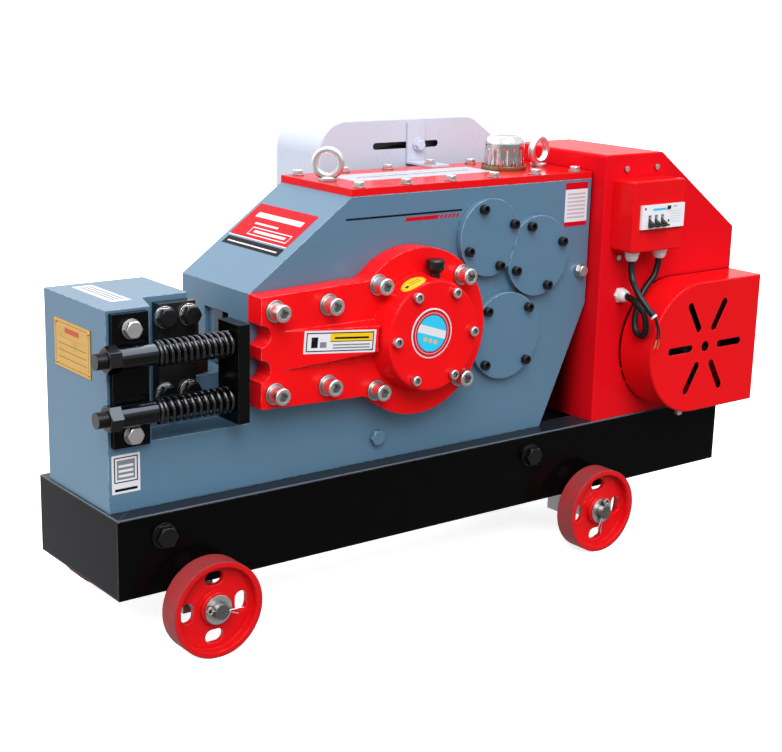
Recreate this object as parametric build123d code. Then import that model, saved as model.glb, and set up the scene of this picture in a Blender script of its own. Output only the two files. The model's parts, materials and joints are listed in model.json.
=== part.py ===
"""Rebar cutting machine: a sliding blade driven by a motor, belts, three gear stages and a crank."""
import os
from math import acos, atan2, cos, degrees, hypot, pi, radians, sin, sqrt, tan

from build123d import *

# Base frame of welded channels
base_length = 1300
base_height = 126
channel_flange = 53
channel_web = 6
channel_flange_thickness = 9
tie_width = 60
pad_half = 26
base_bolt_flats = 30
base_bolt_height = 13
base_bolt_washer = 40
base_bolt_xs = (75, 808)
base_bolt_rise = 90
wheel_diameter = 152
axle_drop = 22
base_x = -641
base_y = -163.5
base_z = wheel_diameter / 2 + axle_drop
base_right = base_x + base_length
base_top = base_z + base_height

# Clearances shared by all fits
running = 0.05
seat = 0.3
slide_gap = 0.3

# Heads of bolts, nuts and screws
crown_share = 0.95
crown_slope = radians(30)
broken_share = 0.05

# Wheels on two through axles
wheel_width = 38
wheel_rim = 9
wheel_web = 9
hub_diameter = 52
hub_length = 26
axle_diameter = 24
axle_collar = 44
collar_length = 31
axle_overhang = 11
axle_inset_left = 133
axle_inset_right = 364
washer_thickness = 4
pin_diameter = 5
pad_drop = 44
wheel_slots = 4
wheel_slot_share = 0.53
wheel_slot_stretch = 0.5
pin_ring = 6
pin_ring_hole = 3.4
pin_ring_width = 4
pin_lift = 0.5
pin_legs = (18, 25)
pin_leg_radius = 0.8
pin_leg_half = 1.1
pin_splay = 10
pin_sink = 1.5
pin_turns = (-78, 15)
axle_z = base_z - axle_drop
axle_xs = (base_x + axle_inset_left, base_right - axle_inset_right)

# Blue machine frame: cutting head, throat and gear housing in one weldment
body_inset = 33
body_gap = 4
body_depth = 201
body_rear_inset = 28
body_left = base_x + body_gap
body_front = base_y + body_inset
body_rear = body_front + body_depth
base_rear = body_rear + body_rear_inset
head_length = 169
head_height = 306
throat_width = 72
throat_floor = 174
recess_depth = 60
recess_floor = 102
cheek_front = 71
cheek_rear = 91
slope_run = 189
slope_rise = 135
housing_length = 712
undercut_height = 217
undercut_run = 97
wall = 25
end_wall = 18
floor_wall = 20
crank_room = 106
rod_swing_gap = 4
cover_bore = 108
plug_flats = 24
plug_place = (247, 40)
side_bolt_flats = 18
side_bolt_place = (18, 278)
nameplate_y = 47
nameplate_z = 194
nameplate_width = 118
nameplate_height = 74
nameplate_thickness = 1.5
rivet_inset = 6
rivet_radius = 2.5
head_right = body_left + head_length
head_top = base_top + head_height
housing_left = head_right + throat_width
housing_right = housing_left + housing_length
housing_top = head_top + slope_rise
recess_wall = body_front + recess_depth
throat_z = base_top + throat_floor
inner_front = body_front + wall
inner_rear = body_rear - wall

# Gear train from the crank back to the first shaft
crank_inset = 301
crank_height = 219.5
crank_x = housing_left + crank_inset
crank_z = base_top + crank_height
pressure_angle = radians(25)
backlash = 0.5
first_module = 4
second_module = 5
third_module = 6
first_teeth = (15, 44)
second_teeth = (15, 45)
third_teeth = (16, 56)
third_angle = radians(-10)
second_angle = radians(63)
first_angle = radians(160)


def step(point, distance, angle):
    return point[0] + distance * cos(angle), point[1] + distance * sin(angle)


crank_axis = (crank_x, crank_z)
third_axis = step(crank_axis, third_module * sum(third_teeth) / 2, third_angle)
second_axis = step(third_axis, second_module * sum(second_teeth) / 2, second_angle)
first_axis = step(second_axis, first_module * sum(first_teeth) / 2, first_angle)
first_radius = 24
second_radius = 27
third_radius = 32
journal_radius = 45
gear_gap = 8
stage_gap = 16
rear_gap = 6
face_widths = (28, 30, 36)
second_pair = (inner_front + gear_gap, inner_front + gear_gap + face_widths[1])
first_pair = (second_pair[1] + stage_gap, second_pair[1] + stage_gap + face_widths[0])
third_pair = (inner_rear - rear_gap - face_widths[2], inner_rear - rear_gap)
blind = 17

# Crank, connecting rod and slide
eccentricity = 22
stroke = 2 * eccentricity
eccentric_radius = 72
rod_ring = 18
rod_eye = 30
rod_width = 38
wrist_radius = 16
slide_height = 90
slide_cheek = 15
blade_thickness = 25
blade_height = 86
blade_overlap = 2
fixed_reach = 35
fixed_seat = 40
step_height = 44
step_back = 16
moving_blade_length = 60
slide_tail = 42
slide_lead = 13
slide_back = 7
slide_web = 6
pocket_gap = 8
slide_z = crank_z
shear_y = recess_wall + blade_thickness
slide_front = recess_wall + slide_gap
slide_rear = shear_y + slide_gap + blade_thickness + slide_cheek + slide_back
fixed_edge = head_right + fixed_reach
moving_edge = fixed_edge + stroke - blade_overlap
wrist_x = moving_edge + moving_blade_length + slide_web + pocket_gap + rod_eye + stroke
rod_length = crank_x + eccentricity - wrist_x
slide_end = wrist_x + slide_tail
rod_y0 = slide_front + slide_cheek
rod_y1 = rod_y0 + rod_width
pocket_left = wrist_x - stroke - rod_eye - pocket_gap

# Blade holder in the recess
holder_thickness = 20
holder_left = 108
holder_right = 171
holder_low = 140
holder_high = 297
holder_bolt_flats = 27
holder_bolt_height = 13
holder_bolt_washer = 34
holder_pitch_x = 41
holder_pitch_z = 118
holder_x = body_left + 117
holder_z = base_top + 159

# Red crank cover with its cap
cover_thickness = 38
cover_half_left = 87
cover_half_neck = 93
cover_neck = 168
flange_radius = 138
cover_fillet = 28
cap_radius = 90
cap_base = 98
cap_height = 40
cap_screw_circle = 78
arm_bolt_half = 64.5
arm_bolt_xs = (22, 120)
flange_bolt_circle = 121.5
bolt_head = 27
bolt_head_height = 23
bolt_washer = 34
bolt_washer_thickness = 3
scallop_radius = 17
scallop_half = 27
hump_half = 31
hump_rise = 22
hump_start = 34
hump_over = 7
hump_under = 15
oil_cup_radius = 15
oil_cup_offset = 14
oil_cup_height = 35
cap_screws = 6
cap_round = 4
cover_overlap = 2
cover_face = body_front - cover_thickness
cap_face = cover_face - cap_height

# Bearing caps on the housing front
cap_thickness = 12
cap_radii = (66, 70, 76)
cap_circles = (53, 57, 66)
cap_turns = (22, 22, 44)
cap_gap = 0.5
cap_screw_count = 4
small_head = 16
small_head_height = 10

# Top plate, its bolts, lifting eyes and breather
plate_thickness = 12
plate_edge = 14
plate_bolts = 6
plate_bolt_first = 24
plate_bolt_pitch = 94
hex_small = 16
hex_small_height = 7
hex_small_washer = 21
hex_small_washer_thickness = 2
eye_hole = 31.2
eye_outer = 54
eye_section = 12
eye_land = 5.2
eye_collar = 30
eye_foot = 6
eye_rise = 29
eye_left = 24
eye_right = 36
eye_turn = (-38, 10)
breather_x = 404
breather_radius = 35
breather_flange = 40
breather_foot = 7
breather_height = 52
breather_round = 15
breather_flutes = 14
flute_radius = 7
flute_depth = 2.4
breather_band = 26
breather_screws = 6
breather_screw_radius = 2.2
plate_left = housing_left + slope_run
plate_top = housing_top + plate_thickness
centre_y = (body_front + body_rear) / 2

# Spring clamp in front of the cutting head
bracket_plate = 10
bracket_width = 59
bracket_height = 200
bracket_top = 4.5
bracket_bolt_flats = 24
bracket_bolt_height = 10
bracket_bolt_washer = 30
bracket_bolt_high = 23
bracket_bolt_low = 19
tube_radius = 16.5
tube_wall = 4.4
clamp_high = 240
clamp_low = 154
rod_radius = 12
nut_flats = 36
nut_thickness = 20
nut_turns = (10, 35)
stop_thickness = 20
stop_depth = 58
stop_low = 118
stop_height = 153
stop_lip = 21
stop_blind = 5
stop_from_end = 198
rod_tail = 16
stop_x = base_x + stop_from_end
wire = 5.6
coil_radius = 17.6
coils_high = 13
coils_low = 12
coil_bend = 1.3 * wire
tube_sink = 2
clamp_y = body_front - bracket_plate - tube_radius + tube_sink
bracket_gap = 5
tube_left = body_left + bracket_gap
tube_right = tube_left + bracket_width
clamp_levels = (base_top + clamp_high, base_top + clamp_low)

# Belt drive, flywheel and white guard behind the housing
pulley_ratio = 20 / 7
motor_pitch = 56
flywheel_pitch = motor_pitch * pulley_ratio
belt_width = 15
belt_pitch = 22
belt_above = 3
belt_below = 7
belt_gap = 0.4
rim_width = 54
rim_depth = 34
flywheel_web = 22
flywheel_hub = 46
guard_depth = 135
guard_sheet = 2
guard_margin = 14
guard_corner = 55
guard_slot = 148
guard_slot_height = 12
guard_slot_rise = 33
bracket_strip = 40
strip_thickness = 4
strip_foot = 34
strip_inset = 12
strip_drop = 8
strip_bolt_flats = 17
strip_bolt_height = 7
strip_bolt_washer = 24
stay_half = 15
stay_foot = 30
stay_drop = 60
stay_gap = 7
stay_share = 0.75
hub_hole_gap = 8
shaft_hole_gap = 12
guard_gap = 13
belt_inset = 42
shaft_tail = 6
guard_front = base_rear + guard_gap
belt_y = guard_front + belt_inset
drive_end = belt_y + rim_width / 2 + shaft_tail

# Motor under its red hood
hood_gap = 4
hood_length = 350
hood_inset = 2
hood_depth = 245
hood_left = housing_right + hood_gap
hood_right = hood_left + hood_length
hood_front = base_y + hood_inset
hood_rear = hood_front + hood_depth
hood_height = 484
hood_top_run = 142
hood_chamfer_drop = 150
sheet = 2
bend = 3
bend_corner = 5
motor_inset = 147
motor_x = hood_right - motor_inset
motor_axis_height = 132.5
motor_z = base_top + motor_axis_height
motor_radius = 98
motor_front_gap = 18
motor_rear_reach = 21
motor_nose = 18
motor_nose_share = 0.72
foot_out = 95
foot_width = 40
foot_front = 40
foot_rear = 60
terminal_half = 50
terminal_front = 50
terminal_length = 90
terminal_height = 140
fan_gap = 16
fan_width = 34
fan_blade_width = 30
fan_blade_thickness = 4
fan_turn = 20
shaft_nose = 52
motor_front = hood_front + motor_front_gap
motor_rear = hood_rear + motor_rear_reach
motor_shaft = 14
fan_radius = 84
fan_blades = 6
fan_hub = 30
drum_radius = 121
drum_depth = 79
drum_width = 287
star_slots = 6
star_inner = 33
star_outer = 98
star_width = 13.5
star_hole = 9.5
vent_radius = 106
motor_hole_gap = 6
hood_screw_radius = 5
hood_screw_height = 4
hood_screw_xs = (28, 105, 20)
hood_screw_gap = 16

# Switch box, breaker and cables
box_left = 21
box_width = 127
box_depth = 52
box_low = 316
box_height = 126
breaker_width = 108
breaker_height = 43
breaker_low = 357
breaker_proud = 5
breaker_offset = 7
breaker_back = 8
button_place = 66
button_half = 4
button_height = 6
button_top = 3
button_proud = 2
toggles = 3
toggle_first = 20
toggle_pitch = 16
toggle_width = 7
toggle_slot = (3, 25)
toggle_slot_depth = 11
toggle_deep = 5
toggle_rise = 14
toggle_hub = 4.5
toggle_arm = 15
toggle_half = 4
toggle_tilt = 27
toggle_bar = 2
toggle_bar_out = 9
toggle_bar_drop = 7
toggle_bar_over = 8
gland_flats = 25
gland_hex = 5
gland_radius = 12.3
gland_length = 19
gland_lip = 2
cable_radius = 5.8
box_x = hood_left + box_left
box_z = base_top + box_low
box_front = hood_front - box_depth
gland_y = hood_front - box_depth / 2
gland_places = (29, 100)
lead_place = (31, 231)
gland_xs = (box_x + gland_places[0], box_x + gland_places[1])
lead_x = box_x + lead_place[0]
lead_z = base_top + lead_place[1]
cable_inset = 6
cable_straight = 46


def block(x0, x1, y0, y1, z0, z1):
    return Pos((x0 + x1) / 2, (y0 + y1) / 2, (z0 + z1) / 2) * Box(x1 - x0, y1 - y0, z1 - z0)


def bar_x(radius, x0, x1, y, z):
    return Pos((x0 + x1) / 2, y, z) * Rot(0, 90, 0) * Cylinder(radius, x1 - x0)


def bar_y(radius, y0, y1, axis):
    return Pos(axis[0], (y0 + y1) / 2, axis[1]) * Rot(90, 0, 0) * Cylinder(radius, y1 - y0)


def bar_z(radius, z0, z1, x, y):
    return Pos(x, y, (z0 + z1) / 2) * Cylinder(radius, z1 - z0)


def plate_y(points, y0, y1):
    outline = Polyline(*[(x, y0, z) for x, z in points], close=True)
    return extrude(make_face(outline), y1 - y0, dir=(0, 1, 0))


def plate_z(points, z0, z1):
    outline = Polyline(*[(x, y, z0) for x, y in points], close=True)
    return extrude(make_face(outline), z1 - z0, dir=(0, 0, 1))


def upright(y):
    return Plane(origin=(0, y, 0), x_dir=(1, 0, 0), z_dir=(0, -1, 0))


def sketch_y(sketch, y0, y1):
    return extrude(upright(y0) * sketch, -(y1 - y0))


def facing_front(shape, axis, y):
    return Pos(axis[0], y, axis[1]) * Rot(90, 0, 0) * shape


def turned(profile):
    outline = Polyline(*[(r, 0, z) for r, z in profile], close=True)
    return revolve(make_face(outline), Axis.Z)


def hexagon(flats, length):
    return extrude(RegularPolygon(flats / 2, 6, major_radius=False), length)


def hex_head(flats, length):
    corner = flats / sqrt(3)
    crown = flats / 2 * crown_share
    drop = (corner - crown) * tan(crown_slope)
    round_blank = turned([(0, 0), (corner, 0), (corner, length - drop), (crown, length), (0, length)])
    return hexagon(flats, length) & round_blank


def solids(pieces):
    return Compound(children=[solid for piece in pieces for solid in piece.solids()])


def socket_screw(head, height, axis, face, washer=0, washer_thickness=0):
    base = face - washer_thickness
    radius = head / 2
    broken = head * broken_share
    blank = turned([(0, 0), (radius, 0), (radius, height - broken), (radius - broken, height), (0, height)])
    blank -= Pos(0, 0, height * 0.4) * hexagon(head * 0.55, height * 0.6)
    screw = facing_front(blank, axis, base)
    return screw + bar_y(washer / 2, base, face, axis) if washer else screw


def hex_bolt(flats, height, washer, axis, face):
    head = facing_front(hex_head(flats, height), axis, face - washer_thickness)
    return head + bar_y(washer / 2, face - washer_thickness, face, axis)


# Base, axles and wheels
def channel_ring():
    ring = block(base_x, base_right, base_y, base_rear, base_z, base_top)
    x0, x1 = base_x + channel_web, base_right - channel_web
    y0, y1 = base_y + channel_web, base_rear - channel_web
    ring -= block(x0, x1, y0, y1, base_z + channel_flange_thickness, base_top - channel_flange_thickness)
    x0, x1 = base_x + channel_flange, base_right - channel_flange
    y0, y1 = base_y + channel_flange, base_rear - channel_flange
    return ring - block(x0, x1, y0, y1, base_z - 1, base_top + 1)


def base_frame():
    ring = channel_ring()
    outer = [(base_x, base_y), (base_right, base_y), (base_right, base_rear), (base_x, base_rear)]
    x0, x1 = base_x + channel_flange, base_right - channel_flange
    y0, y1 = base_y + channel_flange, base_rear - channel_flange
    inner = [(x0, y0), (x1, y0), (x1, y1), (x0, y1)]
    pieces = []
    for k in range(4):
        after = (k + 1) % 4
        mitre = plate_z([outer[k], outer[after], inner[after], inner[k]], base_z, base_top)
        pieces.append(ring & mitre)
    for left, right in base_ties():
        pieces.append(block(left, right, y0, y1, base_top - channel_flange_thickness, base_top))
    return solids(pieces)


def base_ties():
    head = (head_right - tie_width / 2, head_right + tie_width / 2)
    front_foot = (motor_x - foot_out, motor_x - foot_out + tie_width)
    return [head, front_foot, (motor_x + foot_out - tie_width, base_right - channel_flange)]


def base_bolts():
    bolts = []
    sizes = (base_bolt_flats, base_bolt_height, base_bolt_washer)
    z = base_z + base_bolt_rise
    for place in base_bolt_xs:
        x = base_x + place
        bolts.append(hex_bolt(*sizes, (x, z), base_y))
        bolts.append(Rot(0, 0, 180) * hex_bolt(*sizes, (-x, z), -base_rear))
    return solids(bolts)


def axle(x):
    hub_end = collar_length + hub_length + 2 * seat
    tip = hub_end + washer_thickness + axle_overhang
    shaft = bar_y(axle_diameter / 2 - running, base_y - tip, base_rear + tip, (x, axle_z))
    shaft += bar_y(axle_collar / 2, base_y - collar_length, base_y, (x, axle_z))
    shaft += bar_y(axle_collar / 2, base_rear, base_rear + collar_length, (x, axle_z))
    hole = Cylinder(pin_diameter / 2 + running, 2 * axle_diameter)
    for y in pin_rows():
        shaft -= Pos(x, y, axle_z) * Rot(0, pin_turn(x), 0) * hole
    return shaft


def pin_turn(x):
    return pin_turns[axle_xs.index(x)]


def pin_rows():
    out = collar_length + hub_length + 2 * seat + washer_thickness + pin_diameter
    return base_y - out, base_rear + out


def axle_block(x, y):
    pad = block(x - pad_half, x + pad_half, y, y + channel_flange, base_z - pad_drop, base_z)
    return pad - bar_y(axle_diameter / 2, y, y + channel_flange, (x, axle_z))


def axles():
    blocks = [axle_block(x, y) for x in axle_xs for y in (base_y, base_rear - channel_flange)]
    return solids([axle(x) for x in axle_xs] + blocks)


def wheel():
    outer = wheel_diameter / 2
    rim = Cylinder(outer, wheel_width) - Cylinder(outer - wheel_rim, wheel_width)
    body = rim + Cylinder(outer - wheel_rim / 2, wheel_web) + Cylinder(hub_diameter / 2, hub_length)
    body -= Cylinder(axle_diameter / 2 + running, hub_length)
    middle = (hub_diameter / 2 + outer - wheel_rim) / 2
    width = (outer - wheel_rim - hub_diameter / 2) * wheel_slot_share
    for k in range(wheel_slots):
        outline = Rot(0, 0, 90) * SlotCenterToCenter(width * wheel_slot_stretch, width)
        slot = extrude(outline, wheel_web, both=True)
        body -= Rot(0, 0, 360 / wheel_slots * k) * Pos(middle, 0, 0) * slot
    return Rot(90, 0, 0) * body


def wheel_offset():
    return collar_length + seat + hub_length / 2


def wheel_at(x, front):
    y = base_y - wheel_offset() if front else base_rear + wheel_offset()
    return Pos(x, y, axle_z) * wheel()


def split_pin(x, y):
    ring_z = axle_diameter / 2 + pin_lift + pin_ring
    reach = ring_z - pin_ring_hole + pin_sink
    pin = Cylinder(pin_diameter / 2, 2 * reach)
    for length, side in zip(pin_legs, (-1, 1)):
        leg = Rot(0, -side * pin_splay, 0) * Pos(0, 0, -length / 2) * Cylinder(pin_leg_radius, length)
        pin += Pos(side * pin_leg_half, 0, pin_sink - reach) * leg
    ring = Cylinder(pin_ring, pin_ring_width) - Cylinder(pin_ring_hole, pin_ring_width)
    pin += Pos(0, 0, ring_z) * Rot(90, 0, 0) * ring
    return Pos(x, y, axle_z) * Rot(0, pin_turn(x), 0) * pin


def axle_retainers():
    pieces = []
    for x in axle_xs:
        for y, out in zip(pin_rows(), (-1, 1)):
            inner = y - out * pin_diameter
            y0, y1 = sorted((inner, inner - out * washer_thickness))
            ring = bar_y(hub_diameter / 2 - 3, y0, y1, (x, axle_z))
            ring -= bar_y(axle_diameter / 2 + running, y0, y1, (x, axle_z))
            pieces += [ring, split_pin(x, y)]
    return solids(pieces)


# Blue machine frame
def frame_outline():
    return [(body_left, base_top), (body_left, head_top), (head_right, head_top), (head_right, throat_z),
            (housing_left, throat_z), (housing_left, head_top), (plate_left, housing_top),
            (housing_right, housing_top), (housing_right, base_top + undercut_height),
            (housing_right - undercut_run, base_top)]


def gear_cavity():
    low = base_top + floor_wall
    left = crank_x - crank_room
    main = [(left, low), (left, housing_top + 1), (housing_right - end_wall, housing_top + 1),
            (housing_right - end_wall, base_top + undercut_height + 5),
            (housing_right - undercut_run - end_wall / 2, low)]
    room = plate_y(main, inner_front, inner_rear)
    tip = third_module * (third_teeth[1] / 2 + 2)
    return room + bar_y(tip, third_pair[0] - 4, inner_rear, crank_axis)


def machine_frame():
    frame = plate_y(frame_outline(), body_front, body_rear)
    notch = [(body_left + cheek_front, body_front - 1), (body_left + cheek_rear, recess_wall),
             (housing_left, recess_wall), (housing_left, body_front - 1)]
    frame -= plate_z(notch, base_top + recess_floor, head_top + 1)
    frame -= gear_cavity()
    half = slide_height / 2 + slide_gap
    tunnel = (slide_front - slide_gap, slide_rear + slide_gap)
    frame -= block(housing_left - 1, crank_x, *tunnel, slide_z - half, slide_z + half)
    swing = rod_eye + eccentricity + rod_swing_gap
    frame -= block(pocket_left, crank_x, *tunnel, slide_z - swing, slide_z + swing)
    frame -= bar_y(cover_bore, body_front - 1, inner_front + 1, crank_axis)
    frame -= bar_y(journal_radius, inner_rear - 1, inner_rear + blind, crank_axis)
    shafts = ((first_axis, first_radius), (second_axis, second_radius), (third_axis, third_radius))
    for axis, radius in shafts:
        frame -= bar_y(radius, body_front - 1, inner_rear + blind, axis)
    frame -= bar_y(first_radius, inner_rear, body_rear + 1, first_axis)
    z0 = slide_z - blade_height / 2 - seat
    z1 = slide_z + blade_height / 2 + seat
    back = recess_wall + blade_thickness
    frame -= block(fixed_edge - fixed_reach - fixed_seat, head_right + 1, recess_wall - 1, back, z0, z1)
    return frame


def drain_plug():
    axis = (housing_left + plug_place[0], base_top + plug_place[1])
    return facing_front(hex_head(plug_flats, plug_flats * 0.4), axis, body_front)


def nameplate():
    y0, z0 = body_front + nameplate_y, base_top + nameplate_z
    y1, z1 = y0 + nameplate_width, z0 + nameplate_height
    plate = block(body_left - nameplate_thickness, body_left, y0, y1, z0, z1)
    for y in (y0 + rivet_inset, y1 - rivet_inset):
        for z in (z0 + rivet_inset, z1 - rivet_inset):
            plate += bar_x(rivet_radius, body_left - 2 * nameplate_thickness, body_left, y, z)
    return plate


# Blades, slide and crank
def blade_holder():
    x0, x1 = body_left + holder_left, body_left + holder_right
    z0, z1 = base_top + holder_low, base_top + holder_high
    return block(x0, x1, recess_wall - holder_thickness, recess_wall, z0, z1)


def holder_bolts():
    bolts = []
    for x in (holder_x, holder_x + holder_pitch_x):
        for z in (holder_z, holder_z + holder_pitch_z):
            face = recess_wall - holder_thickness
            bolts.append(hex_bolt(holder_bolt_flats, holder_bolt_height, holder_bolt_washer, (x, z), face))
    return solids(bolts)


def fixed_blade():
    z0, z1 = slide_z - blade_height / 2, slide_z + blade_height / 2
    left = head_right - fixed_seat + seat
    back = fixed_edge - step_back
    points = [(left, z0), (fixed_edge, z0), (fixed_edge, z0 + step_height),
              (back, z0 + step_height + step_back), (back, z1), (left, z1)]
    return plate_y(points, recess_wall, shear_y)


def slide_block():
    blade_y = shear_y + slide_gap
    clear = moving_edge + slide_lead
    notch = moving_edge + moving_blade_length
    nose = moving_edge + blade_overlap
    behind = blade_y + blade_thickness
    before = blade_y - 2 * slide_gap
    points = [(clear, slide_front), (slide_end, slide_front), (slide_end, slide_rear), (nose, slide_rear),
              (nose, behind), (notch, behind), (notch, before), (clear, before)]
    ram = plate_z(points, slide_z - slide_height / 2, slide_z + slide_height / 2)
    fork = (rod_y0 - slide_gap, rod_y1 + slide_gap)
    ram -= block(pocket_left, slide_end + 1, *fork, slide_z - slide_height, slide_z + slide_height)
    return ram - bar_y(wrist_radius + running, slide_front - 1, slide_rear + 1, (wrist_x, slide_z))


def moving_blade():
    z0, z1 = slide_z - blade_height / 2, slide_z + blade_height / 2
    y0 = shear_y + slide_gap
    return block(moving_edge, moving_edge + moving_blade_length, y0, y0 + blade_thickness, z0, z1)


def connecting_rod():
    pin_x = wrist_x + rod_length
    ring = eccentric_radius + rod_ring
    big = bar_y(ring, rod_y0, rod_y1, (pin_x, crank_z))
    small = bar_y(rod_eye, rod_y0, rod_y1, (wrist_x, crank_z))
    shank = block(wrist_x, pin_x, rod_y0, rod_y1, crank_z - rod_eye * 0.8, crank_z + rod_eye * 0.8)
    rod = big + small + shank
    rod -= bar_y(eccentric_radius + running, rod_y0, rod_y1, (pin_x, crank_z))
    rod -= bar_y(wrist_radius, rod_y0, rod_y1, (wrist_x, crank_z))
    pin = bar_y(wrist_radius - running, rod_y0, rod_y1, (wrist_x, crank_z))
    return solids([rod, pin])


def crankshaft():
    front = cover_face + 2
    shaft = bar_y(journal_radius - running, front, inner_rear + blind - 1, crank_axis)
    return shaft + bar_y(eccentric_radius, rod_y0, rod_y1, (crank_x + eccentricity, crank_z))


# Toothed wheels
def tooth_half_angle(radius, teeth, module):
    pitch = teeth * module / 2
    root = pitch * cos(pressure_angle)
    lean = acos(min(1, root / radius)) if radius > root else 0
    half = pi / (2 * teeth) - backlash / (2 * pitch)
    return half + tan(pressure_angle) - pressure_angle - tan(lean) + lean


def gear(teeth, module, axis, span, turn, bore):
    pitch = teeth * module / 2
    radii = (pitch - 1.2 * module, pitch + 0.9 * module)
    points = []
    for k in range(teeth):
        middle = turn + 2 * pi * k / teeth
        for radius, side in ((radii[0], -1), (radii[1], -1), (radii[1], 1), (radii[0], 1)):
            angle = middle + side * tooth_half_angle(radius, teeth, module)
            points.append(step(axis, radius, angle))
    wheel_body = plate_y(points, *span)
    return wheel_body - bar_y(bore, *span, axis) if bore else wheel_body


def driven_turn(angle, teeth):
    return angle + pi / teeth


def shaft_end():
    return inner_rear + blind - 1


def first_shaft():
    start = body_front + 1
    shaft = bar_y(first_radius - running, start, drive_end, first_axis)
    return shaft + gear(first_teeth[0], first_module, first_axis, first_pair, first_angle + pi, 0)


def second_shaft():
    shaft = bar_y(second_radius - running, body_front + 1, shaft_end(), second_axis)
    return shaft + gear(second_teeth[0], second_module, second_axis, second_pair, second_angle + pi, 0)


def second_gear():
    turn = driven_turn(first_angle, first_teeth[1])
    return gear(first_teeth[1], first_module, second_axis, first_pair, turn, second_radius)


def third_shaft():
    shaft = bar_y(third_radius - running, body_front + 1, shaft_end(), third_axis)
    return shaft + gear(third_teeth[0], third_module, third_axis, third_pair, third_angle + pi, 0)


def third_gear():
    turn = driven_turn(second_angle, second_teeth[1])
    return gear(second_teeth[1], second_module, third_axis, second_pair, turn, third_radius)


def crank_gear():
    turn = driven_turn(third_angle, third_teeth[1])
    return gear(third_teeth[1], third_module, crank_axis, third_pair, turn, journal_radius)


# Red crank cover and caps
def cover_bolt_axes():
    axes = [(housing_left + x, crank_z + side * arm_bolt_half) for x in arm_bolt_xs for side in (-1, 1)]
    for corner in (45, 135, 225, 315):
        axes.append(step(crank_axis, flange_bolt_circle, radians(corner)))
    return axes


def crank_cover():
    left = housing_left - cover_overlap
    neck = housing_left + cover_neck
    arm = Polygon((left, -cover_half_left), (neck, -cover_half_neck), (crank_x, -cover_half_neck),
                  (crank_x, cover_half_neck), (neck, cover_half_neck), (left, cover_half_left), align=None)
    outline = Pos(0, crank_z) * arm + Pos(crank_x, crank_z) * Circle(flange_radius)
    corners = [v for v in outline.vertices() if crank_x - flange_radius < v.X < crank_x - 60]
    outline = fillet(corners, cover_fillet)
    for side in (-1, 1):
        outline -= Pos(left, crank_z + side * scallop_half) * Circle(scallop_radius)
    cover = sketch_y(outline, cover_face, body_front)
    rise = cover_face - hump_rise
    start = housing_left + hump_start
    low, high = crank_z - hump_half, crank_z + hump_half
    ramp = [(start, cover_face), (crank_x - cap_radius, rise), (crank_x, rise), (crank_x, cover_face)]
    wedge = plate_z(ramp, low, high)
    section = [(cover_face, low), (rise, low + hump_under), (rise, high - hump_over), (cover_face, high)]
    ridge = make_face(Polyline(*[(start, y, z) for y, z in section], close=True))
    cover += wedge & extrude(ridge, crank_x - start, dir=(1, 0, 0))
    cover -= bar_y(cap_base, cover_face - cap_height, cover_face, crank_axis)
    return cover - bar_y(journal_radius, cover_face - 1, body_front + 1, crank_axis)


def crank_cover_bolts():
    return solids([socket_screw(bolt_head, bolt_head_height, axis, cover_face, bolt_washer,
                                bolt_washer_thickness) for axis in cover_bolt_axes()])


def crank_cap():
    cap = turned([(0, 0), (cap_base - seat, 0), (cap_radius, cap_height), (0, cap_height)])
    return facing_front(fillet(cap.edges().group_by(Axis.Z)[-1], cap_round), crank_axis, cover_face)


def crank_cap_screws():
    axes = [step(crank_axis, cap_screw_circle, 2 * pi * k / cap_screws) for k in range(cap_screws)]
    return solids([socket_screw(small_head, small_head_height, axis, cap_face) for axis in axes])


def oil_cup():
    x, y = crank_x + oil_cup_offset, cover_face - cap_height / 2
    foot = crank_z + cap_radius - cap_round
    flare = [(0, 0), (0.55, 0), (0.55, 0.36), (0.9, 0.52), (1, 0.6), (1, 0.92), (0.88, 1), (0, 1)]
    cup = turned([(oil_cup_radius * r, oil_cup_height * h) for r, h in flare])
    return Pos(x, y, foot) * cup - crank_cap()


def bearing_cap(axis, radius, other=None, other_radius=0):
    disc = bar_y(radius, body_front - cap_thickness, body_front, axis)
    if other is None:
        return disc
    apart = hypot(other[0] - axis[0], other[1] - axis[1])
    reach = (apart ** 2 + radius ** 2 - other_radius ** 2) / (2 * apart) - cap_gap
    turn = degrees(atan2(other[1] - axis[1], other[0] - axis[0]))
    side = Box(2 * radius, 4 * radius, 4 * radius, align=(Align.MIN, Align.CENTER, Align.CENTER))
    return disc - Pos(axis[0], body_front, axis[1]) * Rot(0, -turn, 0) * Pos(reach, 0, 0) * side


def bearing_caps():
    first = bearing_cap(first_axis, cap_radii[0], second_axis, cap_radii[1])
    second = bearing_cap(second_axis, cap_radii[1], first_axis, cap_radii[0])
    return solids([first, second, bearing_cap(third_axis, cap_radii[2])])


def bearing_cap_screws():
    screws = []
    for axis, circle, turn in zip((first_axis, second_axis, third_axis), cap_circles, cap_turns):
        for k in range(cap_screw_count):
            place = step(axis, circle, radians(turn + 360 / cap_screw_count * k))
            screws.append(socket_screw(small_head, small_head_height, place, body_front - cap_thickness))
    return solids(screws)


# Top plate and its fittings
def top_plate():
    return block(plate_left, housing_right, body_front, body_rear, housing_top, plate_top)


def plate_bolt_places():
    xs = [plate_left + plate_bolt_first + k * plate_bolt_pitch for k in range(plate_bolts)]
    return [(x, y) for y in (body_front + plate_edge, body_rear - plate_edge) for x in xs]


def strip_left():
    return plate_left + plate_bolt_first + 3 * plate_bolt_pitch - strip_inset


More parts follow.
